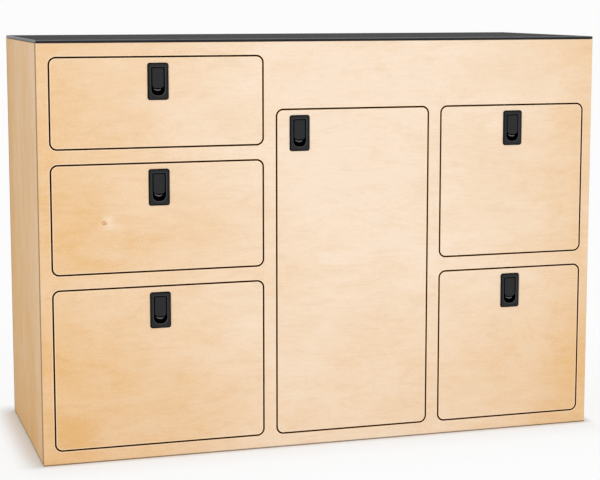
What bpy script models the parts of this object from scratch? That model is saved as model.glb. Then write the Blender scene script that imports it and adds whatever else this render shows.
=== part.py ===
"""Campervan kitchen pod: a plywood cabinet with slide-out drawers, a cupboard door and flush slam latches.

Metres, +Z up. The fronts face -Y. The origin lies on the floor, under the middle of the outer box.
The front is one sheet: the drawer fronts and the door are cut out of it, so they lie flush in it.
"""
import math

import bmesh
import bpy

# Outer size
WIDTH = 1.195
DEPTH = 0.468
HEIGHT = 0.850

# Sheets and the gaps that fitting leaves
PLY = 0.015
WORKTOP_THICKNESS = 0.006
BACK_THICKNESS = 0.009
SEAT_GAP = 0.0003
CUT_OVERRUN = 0.002

# Openings in the front sheet
LEFT_STILE = 0.023
RIGHT_STILE = 0.020
INNER_STILE = 0.0254
TOP_RAIL = 0.0264
CROSS_RAIL = 0.028
BOTTOM_RAIL = 0.0277
APRON = 0.1363
OPENING_RADIUS = 0.0155
FRONT_GAP = 0.003
COLUMN_WIDTH_SHARES = (0.3962, 0.3037, 0.3001)
DRAWER_HEIGHT_SHARES = (0.4477, 0.3022, 0.2501)

# Cupboard shelf
SHELF_HEIGHT_SHARE = 0.5
SHELF_SETBACK = 0.032

# Drawer boxes
BOX_WALL = 0.012
BOX_FLOOR = 0.006
BOX_FLOOR_RISE = 0.008
BOX_LIFT = 0.012
BOX_HEADROOM = 0.022
BOX_REAR_CLEARANCE = 0.028
NOTCH_CLEARANCE = 0.005

# Drawer runners, each a cabinet member round a drawer member
RUNNER_THICKNESS = 0.0127
RUNNER_HEIGHT = 0.035
RUNNER_WALL = 0.0012
RUNNER_PLAY = 0.0005
RUNNER_LIP = 0.0025
RUNNER_NECK = 0.0029
RUNNER_RISE = 0.046
RUNNER_FRONT_SETBACK = 0.003
RUNNER_REAR_CLEARANCE = 0.040
PACKER_MARGIN = 0.0075

# Door pivots
PIVOT_INSET = 0.018
PIVOT_RADIUS = 0.003
PIVOT_COLLAR_RIM = 0.002
PIVOT_DEPTH_IN_DOOR = 0.012
PIVOT_DEPTH_IN_RAIL = 0.010

# Slam latch: plate and pot
PLATE_WIDTH = 0.043
PLATE_HEIGHT = 0.074
PLATE_EDGE = 0.001
PLATE_RIM_WIDTH = 0.0032
PLATE_RIM_RISE = 0.0012
PLATE_RADIUS = 0.0048
PLATE_DROP = 0.0105
PLATE_SIDE_LAP = 0.004
PLATE_END_LAP = 0.0043
DOOR_PLATE_INSET = 0.026
POT_WALL = 0.0016
POT_RADIUS = 0.003
POT_CLEARANCE = 0.0005
POT_BACK_ROOM = 0.0009
SLOT_SIDE_LEDGE = 0.0023
SLOT_TOP_LEDGE = 0.0028
SLOT_BOTTOM_LEDGE = 0.0033
SLOT_TOP_RADIUS = 0.0022
SLOT_ROUND_SHARE = 0.85

# Slam latch: paddle
PADDLE_SIDE_GAP = 0.0019
PADDLE_TOP_GAP = 0.0015
PADDLE_TOP = 0.0028
PADDLE_PIVOT_DEPTH = 0.0045
PADDLE_RECESS = 0.0008
PADDLE_WALL = 0.0024
PADDLE_SLOPE = 0.0038
PADDLE_ROUND_SHARE = 0.81
FINGER_ROOM = 0.0145
TONGUE_RADIUS = 0.0058
BOSS_RADIUS = 0.0028
TRUNNION_RADIUS = 0.0015
TRUNNION_PLAY = 0.0003
ARM_WIDTH = 0.006
ARM_THICKNESS = 0.0024

# Slam latch: bolt
BOLT_WIDTH = 0.014
BOLT_THICKNESS = 0.006
BOLT_PLAY = 0.00035
BOLT_TIP_GAP = 0.0005
BOLT_RAMP = 0.0065
BOLT_FOOT = 0.003
WINDOW_END_PLAY = 0.0012
WINDOW_SIDE_PLAY = 0.0004

# Steps in a quarter turn, and round a full turn
LARGE_ARC_STEPS = 6
SMALL_ARC_STEPS = 4
TURN_STEPS = 16

# Worked out from the sizes above
PLATE_THICKNESS = PLATE_EDGE + PLATE_RIM_RISE
LATCH_PROUD = PLATE_THICKNESS + SEAT_GAP
LEFT = -WIDTH / 2
RIGHT = WIDTH / 2
FRONT = (LATCH_PROUD - DEPTH) / 2
BACK = FRONT + DEPTH
SHEET_BACK = FRONT + PLY
INNER_FRONT = SHEET_BACK + SEAT_GAP
INNER_BACK = BACK - BACK_THICKNESS - SEAT_GAP
INNER_DEPTH = INNER_BACK - INNER_FRONT
CARCASS_TOP = HEIGHT - WORKTOP_THICKNESS - SEAT_GAP
RUNNER_LENGTH = INNER_DEPTH - RUNNER_FRONT_SETBACK - RUNNER_REAR_CLEARANCE
BOX_LENGTH = INNER_DEPTH - BOX_REAR_CLEARANCE
BOX_SIDE_GAP = RUNNER_THICKNESS + 2 * SEAT_GAP
FRONT_RADIUS = OPENING_RADIUS - FRONT_GAP
BOLT_FRONT = PLY + BOLT_TIP_GAP
BOLT_BACK = BOLT_FRONT + BOLT_THICKNESS
POT_WIDTH = PLATE_WIDTH - 2 * PLATE_SIDE_LAP
POT_HEIGHT = PLATE_HEIGHT - 2 * PLATE_END_LAP
POT_DEPTH = BOLT_BACK + POT_BACK_ROOM + POT_WALL
SLOT_HALF_WIDTH = POT_WIDTH / 2 - POT_WALL - SLOT_SIDE_LEDGE
SLOT_TOP = POT_HEIGHT / 2 - POT_WALL - SLOT_TOP_LEDGE
SLOT_BOTTOM = -POT_HEIGHT / 2 + POT_WALL + SLOT_BOTTOM_LEDGE
PADDLE_HALF_WIDTH = SLOT_HALF_WIDTH - PADDLE_SIDE_GAP
PADDLE_PIVOT_HEIGHT = SLOT_TOP - PADDLE_TOP_GAP - PADDLE_TOP
PADDLE_LENGTH = PADDLE_PIVOT_HEIGHT - SLOT_BOTTOM - FINGER_ROOM
ARM_REACH = (BOLT_FRONT + BOLT_BACK) / 2 - PADDLE_PIVOT_DEPTH
WINDOW_HEIGHT = ARM_THICKNESS + 2 * WINDOW_END_PLAY


def clear_scene():
    """Remove every object that the scene holds at the start."""
    for leftover in list(bpy.data.objects):
        bpy.data.objects.remove(leftover, do_unlink=True)


def make_collection(name):
    collection = bpy.data.collections.new(name)
    bpy.context.scene.collection.children.link(collection)
    return collection


def make_material(name, colour, roughness, metallic):
    material = bpy.data.materials.new(name)
    material.use_nodes = True
    shader = material.node_tree.nodes["Principled BSDF"]
    shader.inputs["Base Color"].default_value = (*colour, 1.0)
    shader.inputs["Roughness"].default_value = roughness
    shader.inputs["Metallic"].default_value = metallic
    return material


clear_scene()
POD = make_collection("campervan_kitchen_pod")
CUTTERS = make_collection("cutters")
BIRCH = make_material("birch_plywood", (0.86, 0.68, 0.45), 0.55, 0.0)
LAMINATE = make_material("black_laminate", (0.045, 0.045, 0.048), 0.45, 0.0)
LATCH_PLASTIC = make_material("black_latch_plastic", (0.025, 0.026, 0.028), 0.42, 0.0)
STEEL = make_material("zinc_plated_steel", (0.62, 0.63, 0.65), 0.32, 1.0)


def make_object(name, mesh, material, location=(0.0, 0.0, 0.0)):
    """Link a mesh as one named sub-part of the pod."""
    piece = bpy.data.objects.new(name, mesh)
    piece.location = location
    if material is not None and not mesh.materials:
        mesh.materials.append(material)
    POD.objects.link(piece)
    return piece


def make_carrier(name, location):
    """Add the empty that carries one moving group."""
    carrier = bpy.data.objects.new(name, None)
    carrier.location = location
    POD.objects.link(carrier)
    return carrier


def attach(piece, carrier, location):
    """Hang a piece on its carrier, at a place given in world coordinates."""
    piece.parent = carrier
    piece.location = [a - b for a, b in zip(location, carrier.location)]


def block_mesh(name, low, high):
    """Make a box mesh between two corners, about its own middle."""
    size = [b - a for a, b in zip(low, high)]
    shape = bmesh.new()
    bmesh.ops.create_cube(shape, size=1.0)
    bmesh.ops.scale(shape, vec=size, verts=shape.verts)
    mesh = bpy.data.meshes.new(name)
    shape.to_mesh(mesh)
    shape.free()
    return mesh


def block(name, low, high, material):
    """Add a rectangular panel between two corners."""
    middle = [(a + b) / 2 for a, b in zip(low, high)]
    return make_object(name, block_mesh(name, low, high), material, middle)


def hide_cutter(cutter):
    cutter.hide_render = True
    cutter.display_type = "WIRE"
    for collection in list(cutter.users_collection):
        collection.objects.unlink(cutter)
    CUTTERS.objects.link(cutter)
    return cutter


def block_cutter(name, low, high):
    return hide_cutter(block(name, low, high, None))


def combine(piece, other, operation):
    """Join, cut or trim a piece with another object."""
    modifier = piece.modifiers.new(other.name, "BOOLEAN")
    modifier.operation = operation
    modifier.object = other
    modifier.solver = "EXACT"


def finished_mesh(piece, name):
    """Give the evaluated mesh of an object, with its modifiers applied, and remove the object."""
    bpy.context.view_layer.update()
    graph = bpy.context.evaluated_depsgraph_get()
    mesh = bpy.data.meshes.new_from_object(piece.evaluated_get(graph))
    mesh.name = name
    bpy.data.objects.remove(piece, do_unlink=True)
    return mesh


def arc(centre, radius, start, sweep, steps):
    """Points along an arc, from angle start through sweep, both in degrees."""
    angles = [math.radians(start + sweep * step / steps) for step in range(steps + 1)]
    return [(centre[0] + radius * math.cos(a), centre[1] + radius * math.sin(a)) for a in angles]


def rounded_rectangle(low, high, bottom_radius, top_radius, steps):
    """Outline of a rectangle whose two bottom and two top corners are rounded."""
    (x0, z0), (x1, z1) = low, high
    bottom, top = bottom_radius, top_radius
    return (
        arc((x0 + bottom, z0 + bottom), bottom, 180, 90, steps)
        + arc((x1 - bottom, z0 + bottom), bottom, 270, 90, steps)
        + arc((x1 - top, z1 - top), top, 0, 90, steps)
        + arc((x0 + top, z1 - top), top, 90, 90, steps)
    )


def outline_mesh(name, outline, thickness):
    """Fill a closed outline to a sheet about its own mid-plane, with its caps welded on."""
    curve = bpy.data.curves.new(name, "CURVE")
    curve.dimensions = "2D"
    curve.fill_mode = "BOTH"
    curve.extrude = thickness / 2
    spline = curve.splines.new("POLY")
    spline.points.add(len(outline) - 1)
    for point, (across, up) in zip(spline.points, outline):
        point.co = (across, up, 0.0, 1.0)
    spline.use_cyclic_u = True
    guide = bpy.data.objects.new(name + "_outline", curve)
    CUTTERS.objects.link(guide)
    mesh = finished_mesh(guide, name)
    bpy.data.curves.remove(curve)
    shape = bmesh.new()
    shape.from_mesh(mesh)
    bmesh.ops.remove_doubles(shape, verts=shape.verts, dist=SEAT_GAP / 10)
    shape.to_mesh(mesh)
    shape.free()
    return mesh


def upright_sheet(name, outline, face, thickness, material):
    """Add a sheet cut to an outline in X and Z, its front at y = face."""
    piece = make_object(name, outline_mesh(name, outline, thickness), material)
    piece.rotation_euler = (math.pi / 2, 0.0, 0.0)
    piece.location = (0.0, face + thickness / 2, 0.0)
    return piece


def sideways_prism(name, outline, width, material):
    """Add a prism whose outline is drawn in Y and Z and whose width runs along X."""
    piece = make_object(name, outline_mesh(name, outline, width), material)
    piece.rotation_euler = (math.pi / 2, 0.0, math.pi / 2)
    return piece


def sheet_cutter(name, outline):
    """Make a cutter that goes right through the front sheet."""
    cutter = upright_sheet(name, outline, FRONT - CUT_OVERRUN, PLY + 2 * CUT_OVERRUN, None)
    return hide_cutter(cutter)


def turned(name, profile, material):
    """Turn a profile of radii and heights, listed from the top down, round the Z axis."""
    mesh = bpy.data.meshes.new(name)
    shape = bmesh.new()
    points = [shape.verts.new((radius, 0.0, height)) for radius, height in profile]
    for upper, lower in zip(points, points[1:]):
        shape.edges.new((upper, lower))
    shape.to_mesh(mesh)
    shape.free()
    piece = make_object(name, mesh, material)
    screw = piece.modifiers.new("turn", "SCREW")
    screw.steps = TURN_STEPS
    screw.render_steps = TURN_STEPS
    screw.use_merge_vertices = True
    screw.merge_threshold = SEAT_GAP / 10
    screw.use_smooth_shade = True
    return piece


def cylinder_cutter(name, radius, length, centre, along):
    """Make a round cutter along X or Z."""
    shape = bmesh.new()
    bmesh.ops.create_cone(
        shape, cap_ends=True, segments=TURN_STEPS, radius1=radius, radius2=radius, depth=length
    )
    mesh = bpy.data.meshes.new(name)
    shape.to_mesh(mesh)
    shape.free()
    cutter = make_object(name, mesh, None, centre)
    if along == "X":
        cutter.rotation_euler = (0.0, math.pi / 2, 0.0)
    return hide_cutter(cutter)


def column_edges():
    """Left and right edges of the three columns of openings."""
    clear_width = WIDTH - LEFT_STILE - RIGHT_STILE - 2 * INNER_STILE
    edges = []
    left = LEFT + LEFT_STILE
    for share in COLUMN_WIDTH_SHARES:
        right = left + clear_width * share
        edges.append((left, right))
        left = right + INNER_STILE
    return edges


def drawer_levels():
    """Bottom and top of the three drawer openings at the left, from the lowest up."""
    clear_height = CARCASS_TOP - TOP_RAIL - BOTTOM_RAIL - 2 * CROSS_RAIL
    levels = []
    bottom = BOTTOM_RAIL
    for share in DRAWER_HEIGHT_SHARES:
        top = bottom + clear_height * share
        levels.append((bottom, top))
        bottom = top + CROSS_RAIL
    return levels


LEFT_COLUMN, MIDDLE_COLUMN, RIGHT_COLUMN = column_edges()
LOW_LEVEL, MID_LEVEL, HIGH_LEVEL = drawer_levels()
APRON_BOTTOM = CARCASS_TOP - APRON
DRAWERS = {
    "left_bottom": (LEFT_COLUMN, LOW_LEVEL),
    "left_middle": (LEFT_COLUMN, MID_LEVEL),
    "left_top": (LEFT_COLUMN, HIGH_LEVEL),
    "right_bottom": (RIGHT_COLUMN, LOW_LEVEL),
    "right_top": (RIGHT_COLUMN, (MID_LEVEL[0], APRON_BOTTOM)),
}
DOOR_LEVEL = (BOTTOM_RAIL, APRON_BOTTOM)
PIVOT_X = MIDDLE_COLUMN[1] - FRONT_GAP - PIVOT_INSET
PIVOT_Y = FRONT + PLY / 2


def build_front_frame():
    """One sheet over the whole front, with a rounded opening for each drawer and the door."""
    frame = block("front_frame", (LEFT, FRONT, 0.0), (RIGHT, SHEET_BACK, CARCASS_TOP), BIRCH)
    openings = {**DRAWERS, "door": (MIDDLE_COLUMN, DOOR_LEVEL)}
    for name, ((x0, x1), (z0, z1)) in openings.items():
        outline = rounded_rectangle(
            (x0, z0), (x1, z1), OPENING_RADIUS, OPENING_RADIUS, LARGE_ARC_STEPS
        )
        combine(frame, sheet_cutter("opening_" + name, outline), "DIFFERENCE")
    for end, height, side in (("lower", DOOR_LEVEL[0], -1), ("upper", DOOR_LEVEL[1], 1)):
        bore = pivot_bore("frame_bore_" + end, height, side * PIVOT_DEPTH_IN_RAIL)
        combine(frame, bore, "DIFFERENCE")


def pivot_bore(name, mouth, depth):
    """Cutter for a pivot's bore: its mouth lies at a height, and it runs up or down from there."""
    side = math.copysign(1.0, depth)
    start = mouth - side * CUT_OVERRUN
    end = mouth + depth + side * SEAT_GAP
    centre = (PIVOT_X, PIVOT_Y, (start + end) / 2)
    return cylinder_cutter(name, PIVOT_RADIUS + SEAT_GAP, abs(end - start), centre, "Z")


def runner_levels(column):
    """Heights of the runners' middles in one column."""
    return [levels[0] + RUNNER_RISE for place, levels in DRAWERS.values() if place == column]


def build_side_panel(name, outer, inner, opening_edge, column):
    """A side sheet, with glued packing strips that bring the runners flush with the opening."""
    low = (min(outer, inner), INNER_FRONT, 0.0)
    high = (max(outer, inner), INNER_BACK, CARCASS_TOP)
    panel = block(name, low, high, BIRCH)
    middle = (outer + inner) / 2
    half_strip = RUNNER_HEIGHT / 2 + PACKER_MARGIN
    for number, height in enumerate(runner_levels(column), start=1):
        strip_low = (min(middle, opening_edge), INNER_FRONT, height - half_strip)
        strip_high = (max(middle, opening_edge), INNER_BACK, height + half_strip)
        strip = block_cutter(f"{name}_strip_{number}", strip_low, strip_high)
        combine(panel, strip, "UNION")


def build_carcass():
    """The sheets that stand behind the front: sides, base, back, partitions and shelf."""
    build_side_panel("side_panel_left", LEFT, LEFT + PLY, LEFT_COLUMN[0], LEFT_COLUMN)
    build_side_panel("side_panel_right", RIGHT, RIGHT - PLY, RIGHT_COLUMN[1], RIGHT_COLUMN)
    inner_left = LEFT + PLY + SEAT_GAP
    inner_right = RIGHT - PLY - SEAT_GAP
    block("base_panel", (inner_left, INNER_FRONT, 0.0), (inner_right, INNER_BACK, PLY), BIRCH)
    block("back_panel", (LEFT, BACK - BACK_THICKNESS, 0.0), (RIGHT, BACK, CARCASS_TOP), BIRCH)
    floor = PLY + SEAT_GAP
    left_edge = LEFT_COLUMN[1]
    right_edge = RIGHT_COLUMN[0]
    block(
        "partition_left",
        (left_edge, INNER_FRONT, floor),
        (left_edge + PLY, INNER_BACK, CARCASS_TOP),
        BIRCH,
    )
    block(
        "partition_right",
        (right_edge - PLY, INNER_FRONT, floor),
        (right_edge, INNER_BACK, CARCASS_TOP),
        BIRCH,
    )
    shelf_height = PLY + (APRON_BOTTOM - PLY) * SHELF_HEIGHT_SHARE
    block(
        "cupboard_shelf",
        (left_edge + PLY + SEAT_GAP, INNER_FRONT + SHELF_SETBACK, shelf_height),
        (right_edge - PLY - SEAT_GAP, INNER_BACK, shelf_height + PLY),
        BIRCH,
    )
    block(
        "worktop",
        (LEFT, FRONT, HEIGHT - WORKTOP_THICKNESS),
        (RIGHT, BACK, HEIGHT),
        LAMINATE,
    )


def bent_strip(name, section, length):
    """Mesh of a sheet bent to a section in X and Z and running along Y, thickened about its middle."""
    shape = bmesh.new()
    near = [shape.verts.new((x, -length / 2, z)) for x, z in section]
    edges = [shape.edges.new(pair) for pair in zip(near, near[1:])]
    swept = bmesh.ops.extrude_edge_only(shape, edges=edges)
    far = [item for item in swept["geom"] if isinstance(item, bmesh.types.BMVert)]
    bmesh.ops.translate(shape, verts=far, vec=(0.0, length, 0.0))
    bmesh.ops.recalc_face_normals(shape, faces=shape.faces)
    mesh = bpy.data.meshes.new(name)
    shape.to_mesh(mesh)
    shape.free()
    piece = make_object(name, mesh, STEEL)
    wall = piece.modifiers.new("wall", "SOLIDIFY")
    wall.thickness = RUNNER_WALL
    wall.offset = 0.0
    wall.use_even_offset = True
    return finished_mesh(piece, name)


def runner_meshes():
    """The cabinet member, a channel with turned-in lips, and the drawer member that runs in it."""
    flange = RUNNER_HEIGHT / 2 - RUNNER_WALL / 2
    lip_x = RUNNER_THICKNESS - RUNNER_NECK
    lip_end = flange - RUNNER_LIP
    web_x = RUNNER_WALL / 2
    upper = [(lip_x, lip_end), (lip_x, flange), (web_x, flange)]
    cabinet = upper + [(x, -z) for x, z in reversed(upper)]
    inner_flange = flange - RUNNER_WALL - RUNNER_PLAY
    shoulder_x = lip_x - RUNNER_WALL - RUNNER_PLAY
    neck = lip_end - RUNNER_WALL / 2 - 2 * RUNNER_PLAY
    drawer_web_x = RUNNER_THICKNESS - RUNNER_WALL / 2
    tail_x = 2 * RUNNER_WALL
    upper = [(tail_x, inner_flange), (shoulder_x, inner_flange), (shoulder_x, neck), (drawer_web_x, neck)]
    drawer = upper + [(x, -z) for x, z in reversed(upper)]
    return (
        bent_strip("runner_cabinet", cabinet, RUNNER_LENGTH),
        bent_strip("runner_drawer", drawer, RUNNER_LENGTH),
    )


def build_drawer(name, column, levels, carrier, runners, latches):
    """One drawer: front, box, its two runners and its latch."""
    x0, x1 = column
    z0, z1 = levels
    latch_x = (x0 + x1) / 2
    latch_z = z1 - FRONT_GAP - PLATE_DROP - PLATE_HEIGHT / 2
    front = build_front("drawer_front_" + name, column, levels, (latch_x, latch_z))
    attach(front, carrier, front.location.copy())
    box = build_box(name, column, levels, (latch_x, latch_z))
    attach(box, carrier, box.location.copy())
    build_runners(name, column, z0 + RUNNER_RISE, carrier, runners)
    build_latch(name, (latch_x, latch_z), carrier, latches)


def build_front(name, column, levels, latch):
    """A front with rounded corners and the rounded cut-out for its latch."""
    low = (column[0] + FRONT_GAP, levels[0] + FRONT_GAP)
    high = (column[1] - FRONT_GAP, levels[1] - FRONT_GAP)
    half_width = POT_WIDTH / 2 + POT_CLEARANCE
    half_height = POT_HEIGHT / 2 + POT_CLEARANCE
    radius = POT_RADIUS + POT_CLEARANCE
    outline = rounded_rectangle(low, high, FRONT_RADIUS, FRONT_RADIUS, LARGE_ARC_STEPS)
    latch_hole = rounded_rectangle(
        (latch[0] - half_width, latch[1] - half_height),
        (latch[0] + half_width, latch[1] + half_height),
        radius,
        radius,
        SMALL_ARC_STEPS,
    )
    front = upright_sheet(name, outline, FRONT, PLY, BIRCH)
    combine(front, sheet_cutter(name + "_latch_hole", latch_hole), "DIFFERENCE")
    return front


def build_box(name, column, levels, latch):
    """An open box: four walls, a raised floor, and a notch that clears the back of the latch."""
    x0 = column[0] + BOX_SIDE_GAP
    x1 = column[1] - BOX_SIDE_GAP
    y0 = INNER_FRONT
    y1 = y0 + BOX_LENGTH
    z0 = levels[0] + BOX_LIFT
    z1 = levels[1] - BOX_HEADROOM
    box = block("drawer_box_" + name, (x0, y0, z0), (x1, y1, z1), BIRCH)
    inner_low = (x0 + BOX_WALL, y0 + BOX_WALL)
    inner_high = (x1 - BOX_WALL, y1 - BOX_WALL)
    floor = z0 + BOX_FLOOR_RISE
    inside = block_cutter(
        name + "_inside",
        (*inner_low, floor + BOX_FLOOR),
        (*inner_high, z1 + CUT_OVERRUN),
    )
    under = block_cutter(name + "_under", (*inner_low, z0 - CUT_OVERRUN), (*inner_high, floor))
    half_notch = POT_WIDTH / 2 + NOTCH_CLEARANCE
    notch = block_cutter(
        name + "_notch",
        (latch[0] - half_notch, y0 - CUT_OVERRUN, latch[1] - POT_HEIGHT / 2 - NOTCH_CLEARANCE),
        (latch[0] + half_notch, y0 + BOX_WALL + CUT_OVERRUN, z1 + CUT_OVERRUN),
    )
    for cutter in (inside, under, notch):
        combine(box, cutter, "DIFFERENCE")
    return box


def build_runners(name, column, height, carrier, runners):
    """A pair of runners: each cabinet member stays, each drawer member goes with the drawer."""
    cabinet_mesh, drawer_mesh = runners
    y = INNER_FRONT + RUNNER_FRONT_SETBACK + RUNNER_LENGTH / 2
    sides = (("left", column[0] + SEAT_GAP, 0.0), ("right", column[1] - SEAT_GAP, math.pi))
    for side, x, turn in sides:
        cabinet = make_object(f"runner_cabinet_{name}_{side}", cabinet_mesh, STEEL, (x, y, height))
        drawer = make_object(f"runner_drawer_{name}_{side}", drawer_mesh, STEEL)
        attach(drawer, carrier, (x, y, height))
        for member in (cabinet, drawer):
            member.rotation_euler = (0.0, 0.0, turn)


def build_door(carrier, latches):
    """The cupboard door, hung at its right edge on a pin in each rail."""
    latch_x = MIDDLE_COLUMN[0] + FRONT_GAP + DOOR_PLATE_INSET + PLATE_WIDTH / 2
    latch_z = DOOR_LEVEL[1] - FRONT_GAP - PLATE_DROP - PLATE_HEIGHT / 2
    door = build_front("cupboard_door", MIDDLE_COLUMN, DOOR_LEVEL, (latch_x, latch_z))
    attach(door, carrier, door.location.copy())
    lower = DOOR_LEVEL[0] + FRONT_GAP
    upper = DOOR_LEVEL[1] - FRONT_GAP
    combine(door, pivot_bore("door_bore_lower", lower, PIVOT_DEPTH_IN_DOOR), "DIFFERENCE")
    combine(door, pivot_bore("door_bore_upper", upper, -PIVOT_DEPTH_IN_DOOR), "DIFFERENCE")
    build_latch("door", (latch_x, latch_z), carrier, latches)


def build_pivot_pins():
    """Steel pins that stay in the rails; the lower one has a collar that carries the door."""
    top = FRONT_GAP + PIVOT_DEPTH_IN_DOOR
    collar_low = SEAT_GAP
    collar_high = FRONT_GAP - SEAT_GAP
    lower = [
        (0.0, top),
        (PIVOT_RADIUS, top),
        (PIVOT_RADIUS, collar_high),
        (PIVOT_RADIUS + PIVOT_COLLAR_RIM, collar_high),
        (PIVOT_RADIUS + PIVOT_COLLAR_RIM, collar_low),
        (PIVOT_RADIUS, collar_low),
        (PIVOT_RADIUS, -PIVOT_DEPTH_IN_RAIL),
        (0.0, -PIVOT_DEPTH_IN_RAIL),
    ]
    upper = [
        (0.0, PIVOT_DEPTH_IN_RAIL),
        (PIVOT_RADIUS, PIVOT_DEPTH_IN_RAIL),
        (PIVOT_RADIUS, -top),
        (0.0, -top),
    ]
    turned("pivot_pin_lower", lower, STEEL).location = (PIVOT_X, PIVOT_Y, DOOR_LEVEL[0])
    turned("pivot_pin_upper", upper, STEEL).location = (PIVOT_X, PIVOT_Y, DOOR_LEVEL[1])


def plate_mesh():
    """The latch's plate: a thin edge, then a sloping rim up to its flat face."""
    half_width = PLATE_WIDTH / 2
    half_height = PLATE_HEIGHT / 2
    outline = rounded_rectangle(
        (-half_width, -half_height),
        (half_width, half_height),
        PLATE_RADIUS,
        PLATE_RADIUS,
        SMALL_ARC_STEPS,
    )
    mesh = outline_mesh("latch_plate", outline, PLATE_EDGE)
    shape = bmesh.new()
    shape.from_mesh(mesh)
    shape.normal_update()
    face = [f for f in shape.faces if f.normal.z > math.cos(math.pi / 4)]
    bmesh.ops.inset_region(
        shape, faces=face, thickness=PLATE_RIM_WIDTH, depth=PLATE_RIM_RISE, use_even_offset=True
    )
    shape.to_mesh(mesh)
    shape.free()
    return mesh


def housing_mesh():
    """The latch's fixed part: plate, pot, finger slot, bolt guide and trunnion bores."""
    plate = make_object("latch_plate", plate_mesh(), LATCH_PLASTIC)
    plate.rotation_euler = (math.pi / 2, 0.0, 0.0)
    plate.location = (0.0, -SEAT_GAP - PLATE_EDGE / 2, 0.0)
    pot = latch_box(
        "latch_pot", POT_WIDTH, POT_HEIGHT, POT_RADIUS, (-SEAT_GAP - PLATE_EDGE / 2, POT_DEPTH)
    )
    inner_width = POT_WIDTH - 2 * POT_WALL
    inner_height = POT_HEIGHT - 2 * POT_WALL
    hollow = latch_box(
        "latch_hollow", inner_width, inner_height, POT_WALL, (0.0, POT_DEPTH - POT_WALL)
    )
    slot_depth = LATCH_PROUD + 2 * CUT_OVERRUN
    slot = upright_sheet(
        "latch_slot", slot_outline(), -LATCH_PROUD - CUT_OVERRUN, slot_depth, None
    )
    guide = block_cutter(
        "latch_bolt_guide",
        (-BOLT_WIDTH / 2 - BOLT_PLAY, BOLT_FRONT - BOLT_PLAY, inner_height / 2 - CUT_OVERRUN),
        (BOLT_WIDTH / 2 + BOLT_PLAY, BOLT_BACK + BOLT_PLAY, POT_HEIGHT / 2 + CUT_OVERRUN),
    )
    bores = cylinder_cutter(
        "latch_bores",
        TRUNNION_RADIUS + TRUNNION_PLAY,
        POT_WIDTH + 2 * CUT_OVERRUN,
        (0.0, PADDLE_PIVOT_DEPTH, PADDLE_PIVOT_HEIGHT),
        "X",
    )
    for extra in (pot, hollow, slot):
        hide_cutter(extra)
    combine(plate, pot, "UNION")
    for cutter in (hollow, slot, guide, bores):
        combine(plate, cutter, "DIFFERENCE")
    return baked_at_origin(plate, "latch_housing")


def slot_outline():
    """The finger slot: nearly square above, and rounded like a U below."""
    low = (-SLOT_HALF_WIDTH, SLOT_BOTTOM)
    high = (SLOT_HALF_WIDTH, SLOT_TOP)
    bottom_radius = SLOT_HALF_WIDTH * SLOT_ROUND_SHARE
    return rounded_rectangle(low, high, bottom_radius, SLOT_TOP_RADIUS, LARGE_ARC_STEPS)


def latch_box(name, width, height, radius, span):
    """An upright rounded box about the latch's middle, over a span of depth."""
    outline = rounded_rectangle(
        (-width / 2, -height / 2), (width / 2, height / 2), radius, radius, SMALL_ARC_STEPS
    )
    return upright_sheet(name, outline, span[0], span[1] - span[0], None)


def baked_at_origin(piece, name):
    """Apply a piece's modifiers and its own placing, and give the mesh back."""
    bpy.context.view_layer.update()
    placing = piece.matrix_world.copy()
    mesh = finished_mesh(piece, name)
    mesh.transform(placing)
    for polygon in mesh.polygons:
        polygon.use_smooth = False
    return mesh


def paddle_outline():
    """Side view of the paddle in Y and Z from its pivot: sloped top, flat face, inward tongue."""
    face = PADDLE_RECESS - PLATE_THICKNESS - SEAT_GAP - PADDLE_PIVOT_DEPTH
    back = face + PADDLE_WALL
    bottom = -PADDLE_LENGTH
    inner_radius = TONGUE_RADIUS - PADDLE_WALL
    tongue = (back + TONGUE_RADIUS, bottom)
    boss = arc((0.0, 0.0), BOSS_RADIUS, -90, 180, LARGE_ARC_STEPS)
    return (
        boss
        + [(face + PADDLE_SLOPE / 2, PADDLE_TOP), (face, PADDLE_TOP - PADDLE_SLOPE), (face, bottom)]
        + arc(tongue, TONGUE_RADIUS, 180, 100, LARGE_ARC_STEPS)
        + arc(tongue, inner_radius, 280, -100, LARGE_ARC_STEPS)
        + [(back, bottom + TONGUE_RADIUS), (back, -BOSS_RADIUS)]
    )


def paddle_mesh():
    """The pull paddle, with its trunnions and the arm that works the bolt."""
    uncut_width = 2 * PADDLE_HALF_WIDTH + 2 * CUT_OVERRUN
    paddle = sideways_prism("latch_paddle", paddle_outline(), uncut_width, LATCH_PLASTIC)
    outline = rounded_rectangle(
        (-PADDLE_HALF_WIDTH, -PADDLE_LENGTH - TONGUE_RADIUS),
        (PADDLE_HALF_WIDTH, PADDLE_TOP + CUT_OVERRUN),
        PADDLE_HALF_WIDTH * PADDLE_ROUND_SHARE,
        CUT_OVERRUN / 2,
        LARGE_ARC_STEPS,
    )
    trim = hide_cutter(upright_sheet("paddle_trim", outline, -PADDLE_LENGTH, 2 * PADDLE_LENGTH, None))
    trunnion_length = POT_WIDTH - POT_WALL / 2
    trunnions = cylinder_cutter(
        "paddle_trunnions", TRUNNION_RADIUS, trunnion_length, (0.0, 0.0, 0.0), "X"
    )
    half_arm = ARM_THICKNESS / 2
    arm_outline = [(0.0, -half_arm)] + arc((ARM_REACH, 0.0), half_arm, -90, 180, SMALL_ARC_STEPS)
    arm = sideways_prism("paddle_arm", arm_outline + [(0.0, half_arm)], ARM_WIDTH, None)
    hide_cutter(arm)
    combine(paddle, trim, "INTERSECT")
    combine(paddle, trunnions, "UNION")
    combine(paddle, arm, "UNION")
    return baked_at_origin(paddle, "latch_paddle")


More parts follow.
